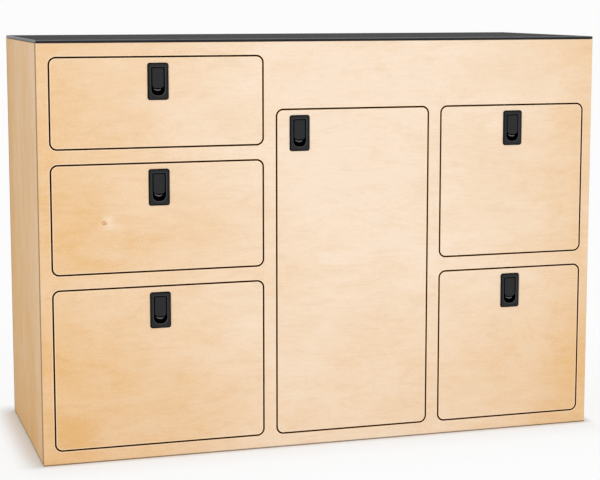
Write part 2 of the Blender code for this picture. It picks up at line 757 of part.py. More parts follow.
def bolt_mesh():
    """The bolt: a flat tongue with a ramped tip and a window for the paddle's arm."""
    tip = PLATE_HEIGHT / 2 + PLATE_DROP + FRONT_GAP - BOLT_TIP_GAP
    foot = PADDLE_PIVOT_HEIGHT - WINDOW_HEIGHT / 2 - BOLT_FOOT
    outline = [
        (BOLT_FRONT, foot),
        (BOLT_BACK, foot),
        (BOLT_BACK, tip - BOLT_RAMP),
        (BOLT_FRONT + BOLT_THICKNESS / 4, tip),
        (BOLT_FRONT, tip),
    ]
    bolt = sideways_prism("latch_bolt", outline, BOLT_WIDTH, LATCH_PLASTIC)
    half_window = ARM_WIDTH / 2 + WINDOW_SIDE_PLAY
    window = block_cutter(
        "bolt_window",
        (-half_window, BOLT_FRONT - CUT_OVERRUN, PADDLE_PIVOT_HEIGHT - WINDOW_HEIGHT / 2),
        (half_window, BOLT_BACK + CUT_OVERRUN, PADDLE_PIVOT_HEIGHT + WINDOW_HEIGHT / 2),
    )
    combine(bolt, window, "DIFFERENCE")
    return baked_at_origin(bolt, "latch_bolt")


def build_latch(name, place, carrier, latches):
    """One slam latch in a front: housing, paddle on its pivot, and bolt."""
    housing_shape, paddle_shape, bolt_shape = latches
    origin = (place[0], FRONT, place[1])
    housing = make_object("latch_housing_" + name, housing_shape, LATCH_PLASTIC)
    attach(housing, carrier, origin)
    pivot = (origin[0], origin[1] + PADDLE_PIVOT_DEPTH, origin[2] + PADDLE_PIVOT_HEIGHT)
    paddle = make_object("latch_paddle_" + name, paddle_shape, LATCH_PLASTIC)
    attach(paddle, carrier, pivot)
    bolt = make_object("latch_bolt_" + name, bolt_shape, LATCH_PLASTIC)
    attach(bolt, carrier, origin)


def build_pod():
    build_front_frame()
    build_carcass()
    runners = runner_meshes()
    latches = (housing_mesh(), paddle_mesh(), bolt_mesh())
    for name, (column, levels) in DRAWERS.items():
        middle = (column[0] + column[1]) / 2
        carrier = make_carrier("drawer_" + name, (middle, FRONT, levels[0]))
        build_drawer(name, column, levels, carrier, runners, latches)
    door_carrier = make_carrier("door_pivot", (PIVOT_X, PIVOT_Y, DOOR_LEVEL[0]))
    build_door(door_carrier, latches)
    build_pivot_pins()


build_pod()
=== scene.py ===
"""The campervan kitchen pod as it looks: birch plywood, a thin black worktop and six flush slam latches.

Metres, +Z up. The fronts face -Y, and the origin lies on the floor under the middle of the pod.
"""
import math

import bpy
import numpy as np
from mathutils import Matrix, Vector
from mathutils.geometry import tessellate_polygon


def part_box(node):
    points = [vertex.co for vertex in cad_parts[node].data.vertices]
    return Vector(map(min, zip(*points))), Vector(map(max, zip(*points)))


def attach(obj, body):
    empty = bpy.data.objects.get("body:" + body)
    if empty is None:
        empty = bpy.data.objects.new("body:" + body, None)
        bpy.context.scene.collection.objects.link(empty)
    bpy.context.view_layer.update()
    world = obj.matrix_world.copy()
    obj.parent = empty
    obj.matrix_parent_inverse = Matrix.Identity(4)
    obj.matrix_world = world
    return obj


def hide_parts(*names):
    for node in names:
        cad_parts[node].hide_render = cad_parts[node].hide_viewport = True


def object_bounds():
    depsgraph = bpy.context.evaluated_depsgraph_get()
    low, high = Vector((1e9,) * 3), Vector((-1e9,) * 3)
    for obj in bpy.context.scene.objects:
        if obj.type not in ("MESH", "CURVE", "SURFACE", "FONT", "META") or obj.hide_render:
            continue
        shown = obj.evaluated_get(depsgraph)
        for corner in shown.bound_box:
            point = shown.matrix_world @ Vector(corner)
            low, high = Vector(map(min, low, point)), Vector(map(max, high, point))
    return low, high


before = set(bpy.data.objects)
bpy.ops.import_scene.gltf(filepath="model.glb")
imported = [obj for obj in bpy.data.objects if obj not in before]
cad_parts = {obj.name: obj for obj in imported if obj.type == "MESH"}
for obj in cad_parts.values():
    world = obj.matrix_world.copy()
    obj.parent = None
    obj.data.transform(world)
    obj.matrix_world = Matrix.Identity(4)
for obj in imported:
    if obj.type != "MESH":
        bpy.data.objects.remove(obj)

cad_bounds = [list(corner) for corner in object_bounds()]


# Camera
# It stands a little to the left of the pod, at about the height of its worktop, and looks slightly
# down. The small downward shift keeps the uprights nearly parallel, as they are in the picture.
CAMERA_PLACE = (-1.0234, -3.3654, 0.9253)
CAMERA_TURN = 0.29797
CAMERA_DIP = 0.12594
CAMERA_LENS = 96.255
CAMERA_SENSOR = 36.0
CAMERA_SHIFT = -0.06


def new_object(name, data):
    made = bpy.data.objects.new(name, data)
    bpy.context.scene.collection.objects.link(made)
    return made


camera_data = bpy.data.cameras.new("camera")
camera_data.lens = CAMERA_LENS
camera_data.sensor_width = CAMERA_SENSOR
camera_data.shift_y = CAMERA_SHIFT
camera = new_object("camera", camera_data)
camera.location = CAMERA_PLACE
camera.rotation_euler = (math.pi / 2 - CAMERA_DIP, 0.0, -CAMERA_TURN)
bpy.context.scene.camera = camera
bpy.context.scene.view_settings.view_transform = "Standard"


# Floor, backdrop and lamps
# A plain pale studio. The floor and the world are white to the camera and in reflections. Next to
# the pod's foot the floor is plain paint that takes its soft shadow, and it whitens further out.
FLOOR_HALF_SIZE = 6.0
FLOOR_COLOUR = (0.88, 0.88, 0.88)
FOOTPRINT = (cad_bounds[1][0], cad_bounds[1][1], 0.0)
RIGHT_FADE_SPEED = 2.2
# Each fade: the distances from the footprint where it starts and ends, and its share at each.
SHORT_FADE = (0.0, 0.062, 0.0, 0.62)
SHORT_FADE_FRONT = 4.0
LONG_FADE = (0.0, 0.062, 0.0, 0.28)
LONG_FADE_FRONT = 0.55
ROOM_FADE = (0.05, 1.2, 0.0, 0.10)
PAPER_WHITE = (0.975, 0.972, 0.972)
AMBIENT_LEVEL = 0.60
AMBIENT_COLOUR = (1.0, 0.995, 0.985)
# Each lamp: its place, width, power and colour, and whether it shows in glosses.
LAMPS = {
    "main": ((1.5, -4.4, 1.25), 2.8, 62.0, (1.0, 0.99, 0.975), False),
    "fill": ((-3.0, -2.4, 2.1), 1.5, 36.0, (1.0, 0.99, 0.975), True),
    "top": ((0.3, 0.4, 3.4), 2.2, 30.0, (1.0, 1.0, 1.0), True),
}
LAMP_TARGET = (0.0, 0.0, 0.4)


class Wire:
    """A socket of a node tree. Sums and products on it add Math nodes; node() adds any other node."""

    def __init__(self, tree, socket=None):
        self.tree = tree
        self.socket = socket

    def node(self, kind, settings, sockets, output=0):
        """Add a node: its type, its settings, then the values or wires of its sockets."""
        made = self.tree.nodes.new("ShaderNode" + kind)
        for name, value in settings.items():
            setattr(made, name, value)
        for name, value in sockets.items():
            if isinstance(value, Wire):
                self.tree.links.new(value.socket, made.inputs[name])
            else:
                made.inputs[name].default_value = value
        return Wire(self.tree, made.outputs[output])

    def maths(self, operation, first, second=0.0):
        return self.node("Math", {"operation": operation}, {0: first, 1: second})

    def __add__(self, other):
        return self.maths("ADD", self, other)

    def __radd__(self, other):
        return self.maths("ADD", other, self)

    def __sub__(self, other):
        return self.maths("SUBTRACT", self, other)

    def __rsub__(self, other):
        return self.maths("SUBTRACT", other, self)

    def __mul__(self, other):
        return self.maths("MULTIPLY", self, other)

    def __rmul__(self, other):
        return self.maths("MULTIPLY", other, self)

    def __truediv__(self, other):
        return self.maths("DIVIDE", self, other)

    def __pow__(self, other):
        return self.maths("POWER", self, other)

    def fraction(self):
        return self.maths("FRACT", self)

    def limited(self, low=0.0, high=1.0):
        return self.node("Clamp", {}, {"Value": self, "Min": low, "Max": high})

    def eased(self, start, end, low=0.0, high=1.0):
        """A smooth step: low before start, high after end, and an S curve between them."""
        sockets = {"Value": self, "From Min": start, "From Max": end, "To Min": low, "To Max": high}
        return self.node("MapRange", {"interpolation_type": "SMOOTHSTEP"}, sockets)


def seen_directly(tree):
    """1 for a ray from the camera, from a gloss or through glass, and 0 for plain daylight."""
    start = Wire(tree)
    kinds = ("Is Camera Ray", "Is Glossy Ray", "Is Transmission Ray")
    rays = [start.node("LightPath", {}, {}, kind) for kind in kinds]
    return (rays[0] + rays[1] + rays[2]).limited()


def mixed(factor, first, second, blend="MIX"):
    """A colour mixed from two, which are wires or tuples of red, green and blue."""
    pair = [c if isinstance(c, Wire) else (*c, 1.0) for c in (first, second)]
    settings = {"data_type": "RGBA", "blend_type": blend}
    return factor.node("Mix", settings, {0: factor, 6: pair[0], 7: pair[1]}, 2)


def shaded(colour, share):
    return [share * part for part in colour]


def scaled(place, factors):
    """Coordinates multiplied axis by axis."""
    return place.node("VectorMath", {"operation": "MULTIPLY"}, {0: place, 1: factors})


def moved(place, shift):
    return place.node("VectorMath", {"operation": "ADD"}, {0: place, 1: shift})


def length(place):
    return place.node("VectorMath", {"operation": "LENGTH"}, {0: place}, "Value")


def floor_reach(place, front_speed):
    """How far out a point of the floor lies: the length of what is past the pod's footprint.

    What is past its front counts front_speed times, and past its right end RIGHT_FADE_SPEED times.
    """
    inwards = [-half for half in FOOTPRINT]
    left_front = scaled(moved(scaled(place, (-1.0, -1.0, 0.0)), inwards), (1.0, front_speed, 0.0))
    right_rear = scaled(moved(place, inwards), (RIGHT_FADE_SPEED, 1.0, 0.0))
    outside = place.node("VectorMath", {"operation": "MAXIMUM"}, {0: left_front, 1: right_rear})
    outside = place.node("VectorMath", {"operation": "MAXIMUM"}, {0: outside, 1: (0.0, 0.0, 0.0)})
    return length(outside)


def new_mesh(name, points, faces, *materials):
    mesh = bpy.data.meshes.new(name)
    mesh.from_pydata(np.asarray(points, float).tolist(), [], faces)
    for material in materials:
        mesh.materials.append(material)
    return mesh


world = bpy.data.worlds.new("studio")
world.use_nodes = True
world_tree = world.node_tree
ambient = shaded(AMBIENT_COLOUR, AMBIENT_LEVEL)
world_light = mixed(seen_directly(world_tree), ambient, PAPER_WHITE)
world_tree.links.new(world_light.socket, world_tree.nodes["Background"].inputs["Color"])
bpy.context.scene.world = world

floor_material = bpy.data.materials.new("floor")
floor_material.use_nodes = True
floor_tree = floor_material.node_tree
floor_tree.nodes.remove(floor_tree.nodes["Principled BSDF"])
floor_start = Wire(floor_tree)
floor_paint = floor_start.node("BsdfDiffuse", {}, {"Color": (*FLOOR_COLOUR, 1.0)})
floor_glow = floor_start.node("Emission", {}, {"Color": (*PAPER_WHITE, 1.0), "Strength": 1.0})
floor_place = floor_start.node("TexCoord", {}, {}, "Object")
floor_short = floor_reach(floor_place, SHORT_FADE_FRONT)
floor_long = floor_reach(floor_place, LONG_FADE_FRONT)
floor_white = floor_short.eased(*SHORT_FADE) + floor_long.eased(*LONG_FADE)
floor_white = floor_white + floor_short.eased(*ROOM_FADE)
floor_share = seen_directly(floor_tree) * floor_white
floor_look = floor_start.node("MixShader", {}, {0: floor_share, 1: floor_paint, 2: floor_glow})
floor_tree.links.new(floor_look.socket, floor_tree.nodes["Material Output"].inputs["Surface"])

floor_corners = FLOOR_HALF_SIZE * np.array([(-1, -1, 0), (1, -1, 0), (1, 1, 0), (-1, 1, 0)])
floor_mesh = new_mesh("floor", floor_corners, [(0, 1, 2, 3)], floor_material)
floor = new_object("floor", floor_mesh)

for lamp_name, (place, size, power, colour, in_gloss) in LAMPS.items():
    lamp_data = bpy.data.lights.new(lamp_name, "AREA")
    lamp_data.shape = "DISK"
    lamp_data.size = size
    lamp_data.energy = power
    lamp_data.color = colour
    lamp = new_object(lamp_name, lamp_data)
    lamp.location = place
    lamp.visible_glossy = in_gloss
    aim = Vector(LAMP_TARGET) - Vector(place)
    lamp.rotation_euler = aim.to_track_quat("-Z", "Y").to_euler()


# Front sheet, drawer fronts and door
# One 15 mm sheet of birch plywood covers the whole front. The drawer fronts and the door are cut
# out of it, so the rotary-cut veneer's figure runs on across the cuts. Every arris is eased.
PALE_BIRCH = (0.868, 0.716, 0.566)
AMBER_BIRCH = (0.752, 0.460, 0.196)
DARK_GRAIN = (0.50, 0.27, 0.11)
KNOT_RING = (0.52, 0.19, 0.05)
# Sanded wood and a painted highlight: a paler margin along each edge, strongest beside the grooves.
SANDED_AND_HIGHLIT_BIRCH = (0.95, 0.76, 0.53)
# Routed edges in the grooves: browned by the router, and darkened with painted shade that deepens into
# the groove.
SCORCHED_SHADED_ARRIS = (0.25, 0.088, 0.017)
SCORCHED_SHADED_EDGE = (0.052, 0.017, 0.004)
SCORCH_SHADE_DEPTH = (0.0005, 0.0040)
# A painted contact shadow: a dark line along the foot of each sheet, where it meets the floor.
FOOT_CONTACT_SHADE = (0.05, 0.035, 0.025)
FOOT_CONTACT_SHADE_FADE = (0.0014, 0.0036, 0.8, 0.0)
LONG_GRAIN_LAYER = (0.54, 0.37, 0.21)
END_GRAIN_LAYER = (0.34, 0.20, 0.10)
PORE_BROWN = (0.22, 0.12, 0.06)
GLUE_BROWN = (0.12, 0.06, 0.03)
# A thin greyer line along the arris next to the sheet's first face.
GREY_ARRIS_LINE = (0.40, 0.29, 0.20)
GREY_ARRIS_FADE = (0.0002, 0.0005, 0.7, 0.0)
PLY_LAYER = 0.00136
LAYER_WAVER = 0.0004
PLY_EASE = 0.0004
EASE_STEPS = 3
# How wide the paled margin is, and how much sanding and painted highlight pale the plain outer edges.
SANDED_HIGHLIGHT_MARGIN = 0.0026
PLAIN_WEAR_AND_HIGHLIGHT = 0.35
SHARP_ANGLE = math.radians(40.0)
CORNER_STEPS = 12
OPENING_RADIUS = 0.0155
FRONT_RADIUS = 0.0125
CUT_OUT_RADIUS = 0.0035
CUT_OUT_STEPS = 5
VENEER_RELIEF = (0.12, 0.0004)
EDGE_RELIEF = (0.25, 0.0003)
# Each pattern of the veneer: its cycles to the metre along and across the grain, then the detail,
# roughness and distortion of its noise.
GRAIN_PATTERNS = {
    "sway": (2.2, 4.5, 2.0, 0.5, 0.0),
    "cloud": (2.2, 4.2, 4.0, 0.6, 0.5),
    "figure": (9.0, 24.0, 4.0, 0.6, 1.4),
    "ripple": (45.0, 120.0, 3.0, 0.6, 0.8),
    "mottle": (330.0, 330.0, 2.0, 0.6, 0.0),
    "line": (16.0, 420.0, 2.0, 0.5, 0.3),
    "fleck": (150.0, 1100.0, 1.0, 0.5, 0.0),
    "ring": (1.1, 6.0, 3.0, 0.5, 0.5),
}
SWAY_REACH = 0.05
RING_COUNT = 26.0
RING_PEAK = 0.16
RING_END = 0.62
CLOUD_WARMTH = 0.85
FIGURE_WARMTH = 0.42
RIPPLE_WARMTH = 0.32
MOTTLE_WARMTH = 0.46
LINE_DARKNESS = 0.05
RING_DARKNESS = 0.06
FLECK_DARKNESS = 0.12


def new_finish(name):
    """A material, its shader node, and a wire that carries Object coordinates."""
    material = bpy.data.materials.new(name)
    material.use_nodes = True
    tree = material.node_tree
    shader = tree.nodes["Principled BSDF"]
    place = Wire(tree).node("TexCoord", {}, {}, "Object")
    return material, shader, place


def dress(shader, colour, roughness, height, relief, gloss=0.5):
    """Give a shader its colour, roughness and bump. relief is the bump's strength and its depth."""
    bump = height.node("Bump", {}, {"Strength": relief[0], "Distance": relief[1], "Height": height})
    for socket, wire in (("Base Color", colour), ("Roughness", roughness), ("Normal", bump)):
        wire.tree.links.new(wire.socket, shader.inputs[socket])
    shader.inputs["Specular IOR Level"].default_value = gloss


def coordinate(place, axis):
    return place.node("SeparateXYZ", {}, {0: place}, axis)


def noise(place, factors, detail=2.0, roughness=0.5, distortion=0.0):
    """Noise about 0.5, with coordinates multiplied axis by axis first."""
    sockets = {
        "Vector": scaled(place, factors),
        "Scale": 1.0,
        "Detail": detail,
        "Roughness": roughness,
        "Distortion": distortion,
    }
    return place.node("TexNoise", {}, sockets)


def patch(place, x, z, half_width, half_height, half_depth):
    """1 at a place of the front, falling smoothly to 0 at the surface of an ellipsoid round it."""
    away = moved(place, (-x, -PATCH_PLANE, -z))
    away = scaled(away, (1.0 / half_width, 1.0 / half_depth, 1.0 / half_height))
    return length(away).eased(0.0, 1.0, 1.0, 0.0)


def grain_noise(place, grain, pattern):
    """A pattern of the veneer: one scale along the grain's axis, the other along the other two."""
    along, across, detail, roughness, distortion = GRAIN_PATTERNS[pattern]
    factors = [along if axis == grain else across for axis in "XYZ"]
    return noise(place, factors, detail, roughness, distortion)


def birch_veneer(name, grain, warmth, gloss=0.22, knots=()):
    """Rotary-cut birch: broad clouds, contour-like growth rings, a watery figure and short flecks.

    grain is the axis that the grain follows, and warmth a function that gives the share of amber.
    """
    material, shader, place = new_finish(name)
    sway = (grain_noise(place, grain, "sway") - 0.5) * SWAY_REACH
    lift = place.node("CombineXYZ", {}, {axis: sway for axis in "XYZ" if axis != grain})
    bent = moved(place, lift)
    cloud, mottle = (grain_noise(place, grain, pattern) for pattern in ("cloud", "mottle"))
    swaying = ("figure", "ripple", "line", "fleck", "ring")
    figure, ripple, line, fleck, ring = (grain_noise(bent, grain, pattern) for pattern in swaying)
    phase = (ring * RING_COUNT).fraction()
    ring_line = phase.eased(0.0, RING_PEAK) * phase.eased(RING_PEAK, RING_END, 1.0, 0.0)
    ring_line = ring_line * figure.eased(0.40, 0.62)
    warm = warmth(place) + (cloud - 0.5) * CLOUD_WARMTH + (figure - 0.5) * FIGURE_WARMTH
    warm = warm + (ripple - 0.5) * RIPPLE_WARMTH + (mottle - 0.5) * MOTTLE_WARMTH
    colour = mixed(warm.limited(), PALE_BIRCH, AMBER_BIRCH)
    dark = line.eased(0.42, 0.72) * LINE_DARKNESS + ring_line * RING_DARKNESS
    dark = dark + fleck.eased(0.62, 0.78) * FLECK_DARKNESS
    colour = mixed(dark.limited(), colour, DARK_GRAIN)
    for knot in knots:
        eye = patch(place, *knot, KNOT_DEPTH)
        ringed = (eye.eased(0.15, 0.50) - eye.eased(0.55, 0.90) * 0.7) * (line * 0.5 + 0.45)
        colour = mixed(ringed.limited(), colour, KNOT_RING)
    # Sanding and a painted highlight pale a narrow margin along each edge.
    worn = place.node("Attribute", {"attribute_name": "worn"}, {}, "Fac")
    sanded_and_highlit = worn.eased(0.20, 0.95) * (ripple * 0.8 + 0.5)
    colour = mixed(sanded_and_highlit.limited(0.0, 0.90), colour, SANDED_AND_HIGHLIT_BIRCH)
    # Painted contact shadow along the foot of the sheet.
    contact_shaded = coordinate(place, "Z").eased(*FOOT_CONTACT_SHADE_FADE)
    colour = mixed(contact_shaded, colour, FOOT_CONTACT_SHADE)
    roughness = (figure - 0.5) * 0.14 + fleck * 0.06 + 0.50
    height = line * 0.5 + fleck * 0.35 + mottle * 0.15
    dress(shader, colour, roughness, height, VENEER_RELIEF, gloss)
    return material


# Each knot or stain: its X and Z, its half width and half height, and a stain's warmth, which is
# below 0 for a pale one.
PATCH_PLANE = -0.2325
PATCH_DEPTH = 0.30
KNOT_DEPTH = 0.02
KNOTS = [(-0.4690, 0.4870, 0.0062, 0.0070), (-0.4650, 0.4858, 0.0044, 0.0032)]
STAINS = [
    (-0.535, 0.065, 0.080, 0.075, 0.24),
    (-0.492, 0.500, 0.055, 0.045, 0.16),
    (-0.41, 0.17, 0.060, 0.04, 0.06),
    (-0.530, 0.450, 0.085, 0.055, 0.22),
    (-0.40, 0.445, 0.12, 0.035, 0.12),
    (-0.510, 0.540, 0.100, 0.070, 0.22),
    (-0.500, 0.402, 0.130, 0.035, 0.24),
    (-0.12, 0.33, 0.14, 0.09, 0.08),
    (0.60, 0.20, 0.15, 0.28, 0.06),
    (0.36, 0.16, 0.10, 0.04, 0.10),
    (0.54, 0.68, 0.06, 0.09, 0.18),
    (0.44, 0.385, 0.10, 0.05, 0.14),
    (0.44, 0.20, 0.10, 0.05, 0.08),
    (0.48, 0.02, 0.10, 0.06, 0.18),
    (-0.26, 0.25, 0.11, 0.05, 0.12),
    (-0.305, 0.146, 0.07, 0.05, 0.12),
    (-0.05, 0.063, 0.09, 0.05, 0.12),
    (-0.4530, 0.4810, 0.034, 0.012, -0.27),
    (-0.4600, 0.4960, 0.017, 0.013, -0.32),
    (0.05, 0.0, 0.50, 0.09, -0.18),
    (0.595, 0.44, 0.025, 0.16, -0.14),
    (0.25, 0.82, 0.36, 0.06, -0.10),
    (-0.18, 0.75, 0.09, 0.08, -0.10),
]
# Each end of the front: where its warmth is full, its power and its strength. The warmth at the left
# end and the foot is partly painted shade, where the light falls off; at the right end it is the wood's
# own.
LEFT_WARMTH_AND_SHADE = (-0.56, 1.3, 0.62)
RIGHT_WARMTH = (0.58, 3.2, 0.52)
FOOT_WARMTH_AND_SHADE = 0.26
LEAST_WARMTH = 0.02
POD_HEIGHT = cad_bounds[1][2]


def end_warmth_and_shade(across, full, power, strength):
    return (across / full).limited() ** power * strength


def front_warmth_and_shade(place):
    """How amber the front is: more towards its ends and its foot, partly as painted shade at the left
    end and the foot, with a few stained patches.
    """
    across = coordinate(place, "X")
    foot = (1.0 - coordinate(place, "Z") / POD_HEIGHT).limited()
    warm = end_warmth_and_shade(across, *LEFT_WARMTH_AND_SHADE) + end_warmth_and_shade(across, *RIGHT_WARMTH)
    warm = warm + foot * foot * FOOT_WARMTH_AND_SHADE + LEAST_WARMTH
    for *stain, strength in STAINS:
        warm = warm + patch(place, *stain, PATCH_DEPTH) * strength
    return warm


def ply_edge():
    """The edge of plywood: pale long-grain layers and browner end-grain ones, with thin glue lines."""
    material, shader, place = new_finish("birch_ply_edge")
    strip = place.node("UVMap", {"uv_map": "edge"}, {})
    depth = coordinate(strip, "Y")
    waver = noise(strip, (7.0, 0.0, 0.0))
    layer = (depth + (waver - 0.5) * LAYER_WAVER) / PLY_LAYER
    phase = (layer / 2.0).fraction()
    end_grain = phase.eased(0.47, 0.53) - phase.eased(0.97, 1.0)
    within = layer.fraction()
    glue = within.eased(0.90, 0.97) + within.eased(0.0, 0.05, 1.0, 0.0)
    pores = noise(strip, (900.0, 2600.0, 1.0), detail=1.0).eased(0.50, 0.75)
    streak = noise(strip, (40.0, 2400.0, 1.0))
    colour = mixed(end_grain.limited(), LONG_GRAIN_LAYER, END_GRAIN_LAYER)
    porous = pores * end_grain * 0.5 + (streak - 0.5) * 0.3
    colour = mixed(porous.limited(), colour, PORE_BROWN)
    colour = mixed((glue * 0.6).limited(), colour, GLUE_BROWN)
    # Painted shade in the grooves over the router's browning, darker deeper in.
    toasted = place.node("Attribute", {"attribute_name": "toasted"}, {}, "Fac")
    scorch_and_shade = mixed(depth.eased(*SCORCH_SHADE_DEPTH), SCORCHED_SHADED_ARRIS, SCORCHED_SHADED_EDGE)
    colour = mixed((toasted * (streak * 0.1 + 0.92)).limited(), colour, scorch_and_shade)
    # A thin greyer line along the arris at the sheet's first face, on edges the router has not browned.
    greyed_arris = depth.eased(*GREY_ARRIS_FADE) * (1.0 - toasted)
    colour = mixed(greyed_arris, colour, GREY_ARRIS_LINE)
    dress(shader, colour, 0.62 + pores * 0.12, pores * -1.0 - glue * 0.4, EDGE_RELIEF, 0.0)
    return material


FRONT_VENEER = birch_veneer("birch_front_veneer", "X", front_warmth_and_shade, knots=KNOTS)
PLY_EDGE = ply_edge()


def square_loop(low, high):
    """A plain rectangle, anticlockwise from its bottom left."""
    (x0, z0), (x1, z1) = low, high
    return np.array([(x0, z0), (x1, z0), (x1, z1), (x0, z1)], float)


def rounded_loop(low, high, radii, steps=CORNER_STEPS):
    """A rectangle with quarter-circle corners: corner centre + radius * (cos a, sin a).

    It runs anticlockwise from its bottom left. radii is one radius, or one for each corner.
    """
    radii = np.broadcast_to(radii, 4)[:, None]
    centres = square_loop(low, high) + radii * np.array([(1, 1), (-1, 1), (-1, -1), (1, -1)])
    starts = np.radians([180, 270, 0, 90])
    angles = starts[:, None] + np.linspace(0.0, math.pi / 2, steps + 1)[None, :]
    turn = np.stack([np.cos(angles), np.sin(angles)], axis=-1)
    return (centres[:, None, :] + radii[:, None, :] * turn).reshape(-1, 2)


def outward(loop):
    """For each point, the shift that moves both of its edges out by one: (n1 + n2) / (1 + n1 . n2)."""
    edge = np.roll(loop, -1, axis=0) - loop
    normal = np.stack([edge[:, 1], -edge[:, 0]], axis=1)
    normal /= np.linalg.norm(normal, axis=1, keepdims=True)
    before = np.roll(normal, 1, axis=0)
    return (before + normal) / (1.0 + (before * normal).sum(axis=1, keepdims=True))


def ring_quads(rows, count):
    """The quads between closed rows of count points each: their row, column and four corners."""
    row, column = np.meshgrid(np.arange(rows - 1), np.arange(count), indexing="ij")
    here, above, after = row * count, (row + 1) * count, (column + 1) % count
    corners = np.stack([here + column, here + after, above + after, above + column], axis=-1)
    return row, column, corners.reshape(-1, 4)


def sheet_shape(loops, span, axis, ease=PLY_EASE, toasted=(), margin=SANDED_HIGHLIGHT_MARGIN):
    """A flat sheet as arrays. Each outline is carried through the sheet's thickness along a profile.

    The profile starts on one face at the inner edge of its sanded margin, turns the arris on a
    quarter circle, inset = ease * (1 - sin a) and depth = ease * (1 - cos a), runs straight through
    the thickness and comes back the same way. The first outline is anticlockwise, holes clockwise.
    Every margin is paled by sanding and a painted highlight. The outlines that the router has browned
    are listed by number; their edges also take painted shade, and their margins more of the highlight.
    """
    angle = np.linspace(0.0, math.pi / 2, EASE_STEPS + 1)
    inset = np.concatenate([[ease + margin], ease * (1.0 - np.sin(angle))])
    depth = np.concatenate([[0.0], ease * (1.0 - np.cos(angle))])
    insets = np.concatenate([inset, inset[::-1]])
    depths = np.concatenate([depth, (span[1] - span[0]) - depth[::-1]])
    levels = len(depths)
    points, quads, rims, edge_uv, caps, count = [], [], [], [], [], 0
    for loop in loops:
        size = len(loop)
        rows = loop[None, :, :] - insets[:, None, None] * outward(loop)[None, :, :]
        level = np.broadcast_to(span[0] + depths[:, None, None], (levels, size, 1))
        points.append(np.concatenate([rows, level], axis=2).reshape(-1, 3))
        row, column, corners = ring_quads(levels, size)
        quads.append(count + corners)
        rims.append(((row > 0) & (row < levels - 2)).ravel())
        steps = np.linalg.norm(np.roll(loop, -1, axis=0) - loop, axis=1)
        run = np.concatenate([[0.0], np.cumsum(steps)])
        runs = np.stack([run[column], run[column + 1], run[column + 1], run[column]], -1)
        rises = np.stack([depths[row], depths[row], depths[row + 1], depths[row + 1]], -1)
        edge_uv.append(np.stack([runs, rises], -1).reshape(-1, 4, 2))
        caps.append((rows[0], count + np.arange(size), count + (levels - 1) * size + np.arange(size)))
        count += levels * size
    rows, near, far = zip(*caps)
    triangles = np.array(tessellate_polygon([[Vector((*p, 0.0)) for p in row] for row in rows]))
    joined, near, far = (np.concatenate(part) for part in (rows, near, far))
    a, b, c = (joined[triangles[:, k]] for k in range(3))
    turn = (b - a)[:, 0] * (c - a)[:, 1] - (b - a)[:, 1] * (c - a)[:, 0]
    triangles = np.where(turn[:, None] > 0.0, triangles, triangles[:, ::-1])
    flat = np.concatenate([near[triangles[:, ::-1]], far[triangles]])
    quads, rims, edge_uv = (np.concatenate(part) for part in (quads, rims, edge_uv))
    scorch_and_shade = np.concatenate([np.full(len(p), float(k in toasted)) for k, p in enumerate(points)])
    # Rim points are paled by sanding and a painted highlight, fully on the routed outlines; the faces'
    # inner rows are not.
    worn = PLAIN_WEAR_AND_HIGHLIGHT + (1.0 - PLAIN_WEAR_AND_HIGHLIGHT) * scorch_and_shade
    worn[near] = 0.0
    worn[far] = 0.0
    order = {"x": (2, 0, 1), "y": (0, 2, 1), "z": (0, 1, 2)}[axis]
    if axis == "y":
        quads = quads[:, ::-1]
        flat = flat[:, ::-1]
        edge_uv = edge_uv[:, ::-1]
    return np.concatenate(points)[:, order], np.stack([worn, scorch_and_shade]), quads, rims, edge_uv, flat


def add_piece(name, mesh, body, replaced=()):
    """An object that moves with a body, has a material slot, and may stand for nodes of the CAD."""
    piece = new_object(name, mesh)
    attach(piece, body)
    if replaced:
        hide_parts(*replaced)
    return piece


def sheet_piece(name, body, shapes, face_material, replaced, edge_material=None):
    """One object from one or more sheets: flat faces take the veneer and rims take the ply edge."""
    points, marks, faces, rims, uvs, base = [], [], [], [], [], 0
    for places, mark, quads, rim, edge_uv, flat in shapes:
        points.append(places)
        marks.append(mark)
        faces += (base + quads).tolist() + (base + flat).tolist()
        rims += [rim, np.zeros(len(flat), bool)]
        uvs += [edge_uv.reshape(-1, 2), np.zeros((3 * len(flat), 2))]
        base += len(places)
    mesh = new_mesh(name, np.concatenate(points), faces, face_material, edge_material or PLY_EDGE)
    rim = np.concatenate(rims)
    mesh.polygons.foreach_set("material_index", rim.astype(np.int32))
    uvs = np.concatenate(uvs).astype(np.float32).ravel()
    mesh.uv_layers.new(name="edge").data.foreach_set("uv", uvs)
    for label, values in zip(("worn", "toasted"), np.concatenate(marks, axis=1)):
        mesh.attributes.new(label, "FLOAT", "POINT").data.foreach_set("value", values)
    mesh.update()
    mesh.set_sharp_from_angle(angle=SHARP_ANGLE)
    mesh.polygons.foreach_set("use_smooth", rim)
    add_piece(name, mesh, body, replaced)


def face_of(node, grow=0.0):
    """The two corners of a node's face in X and Z, grown on every side."""
    low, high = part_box(node)
    return (low.x - grow, low.z - grow), (high.x + grow, high.z + grow)


DRAWER_NAMES = ("left_bottom", "left_middle", "left_top", "right_bottom", "right_top")
FRONT_NODES = {name: "drawer_front_" + name for name in DRAWER_NAMES} | {"door": "cupboard_door"}
FRONT_BODIES = {name: "drawer_" + name for name in DRAWER_NAMES} | {"door": "door"}
FRONT_GAP = 0.003
PLATE_SIDE_LAP = 0.004
PLATE_END_LAP = 0.0043
CUT_OUT_GAP = 0.0005

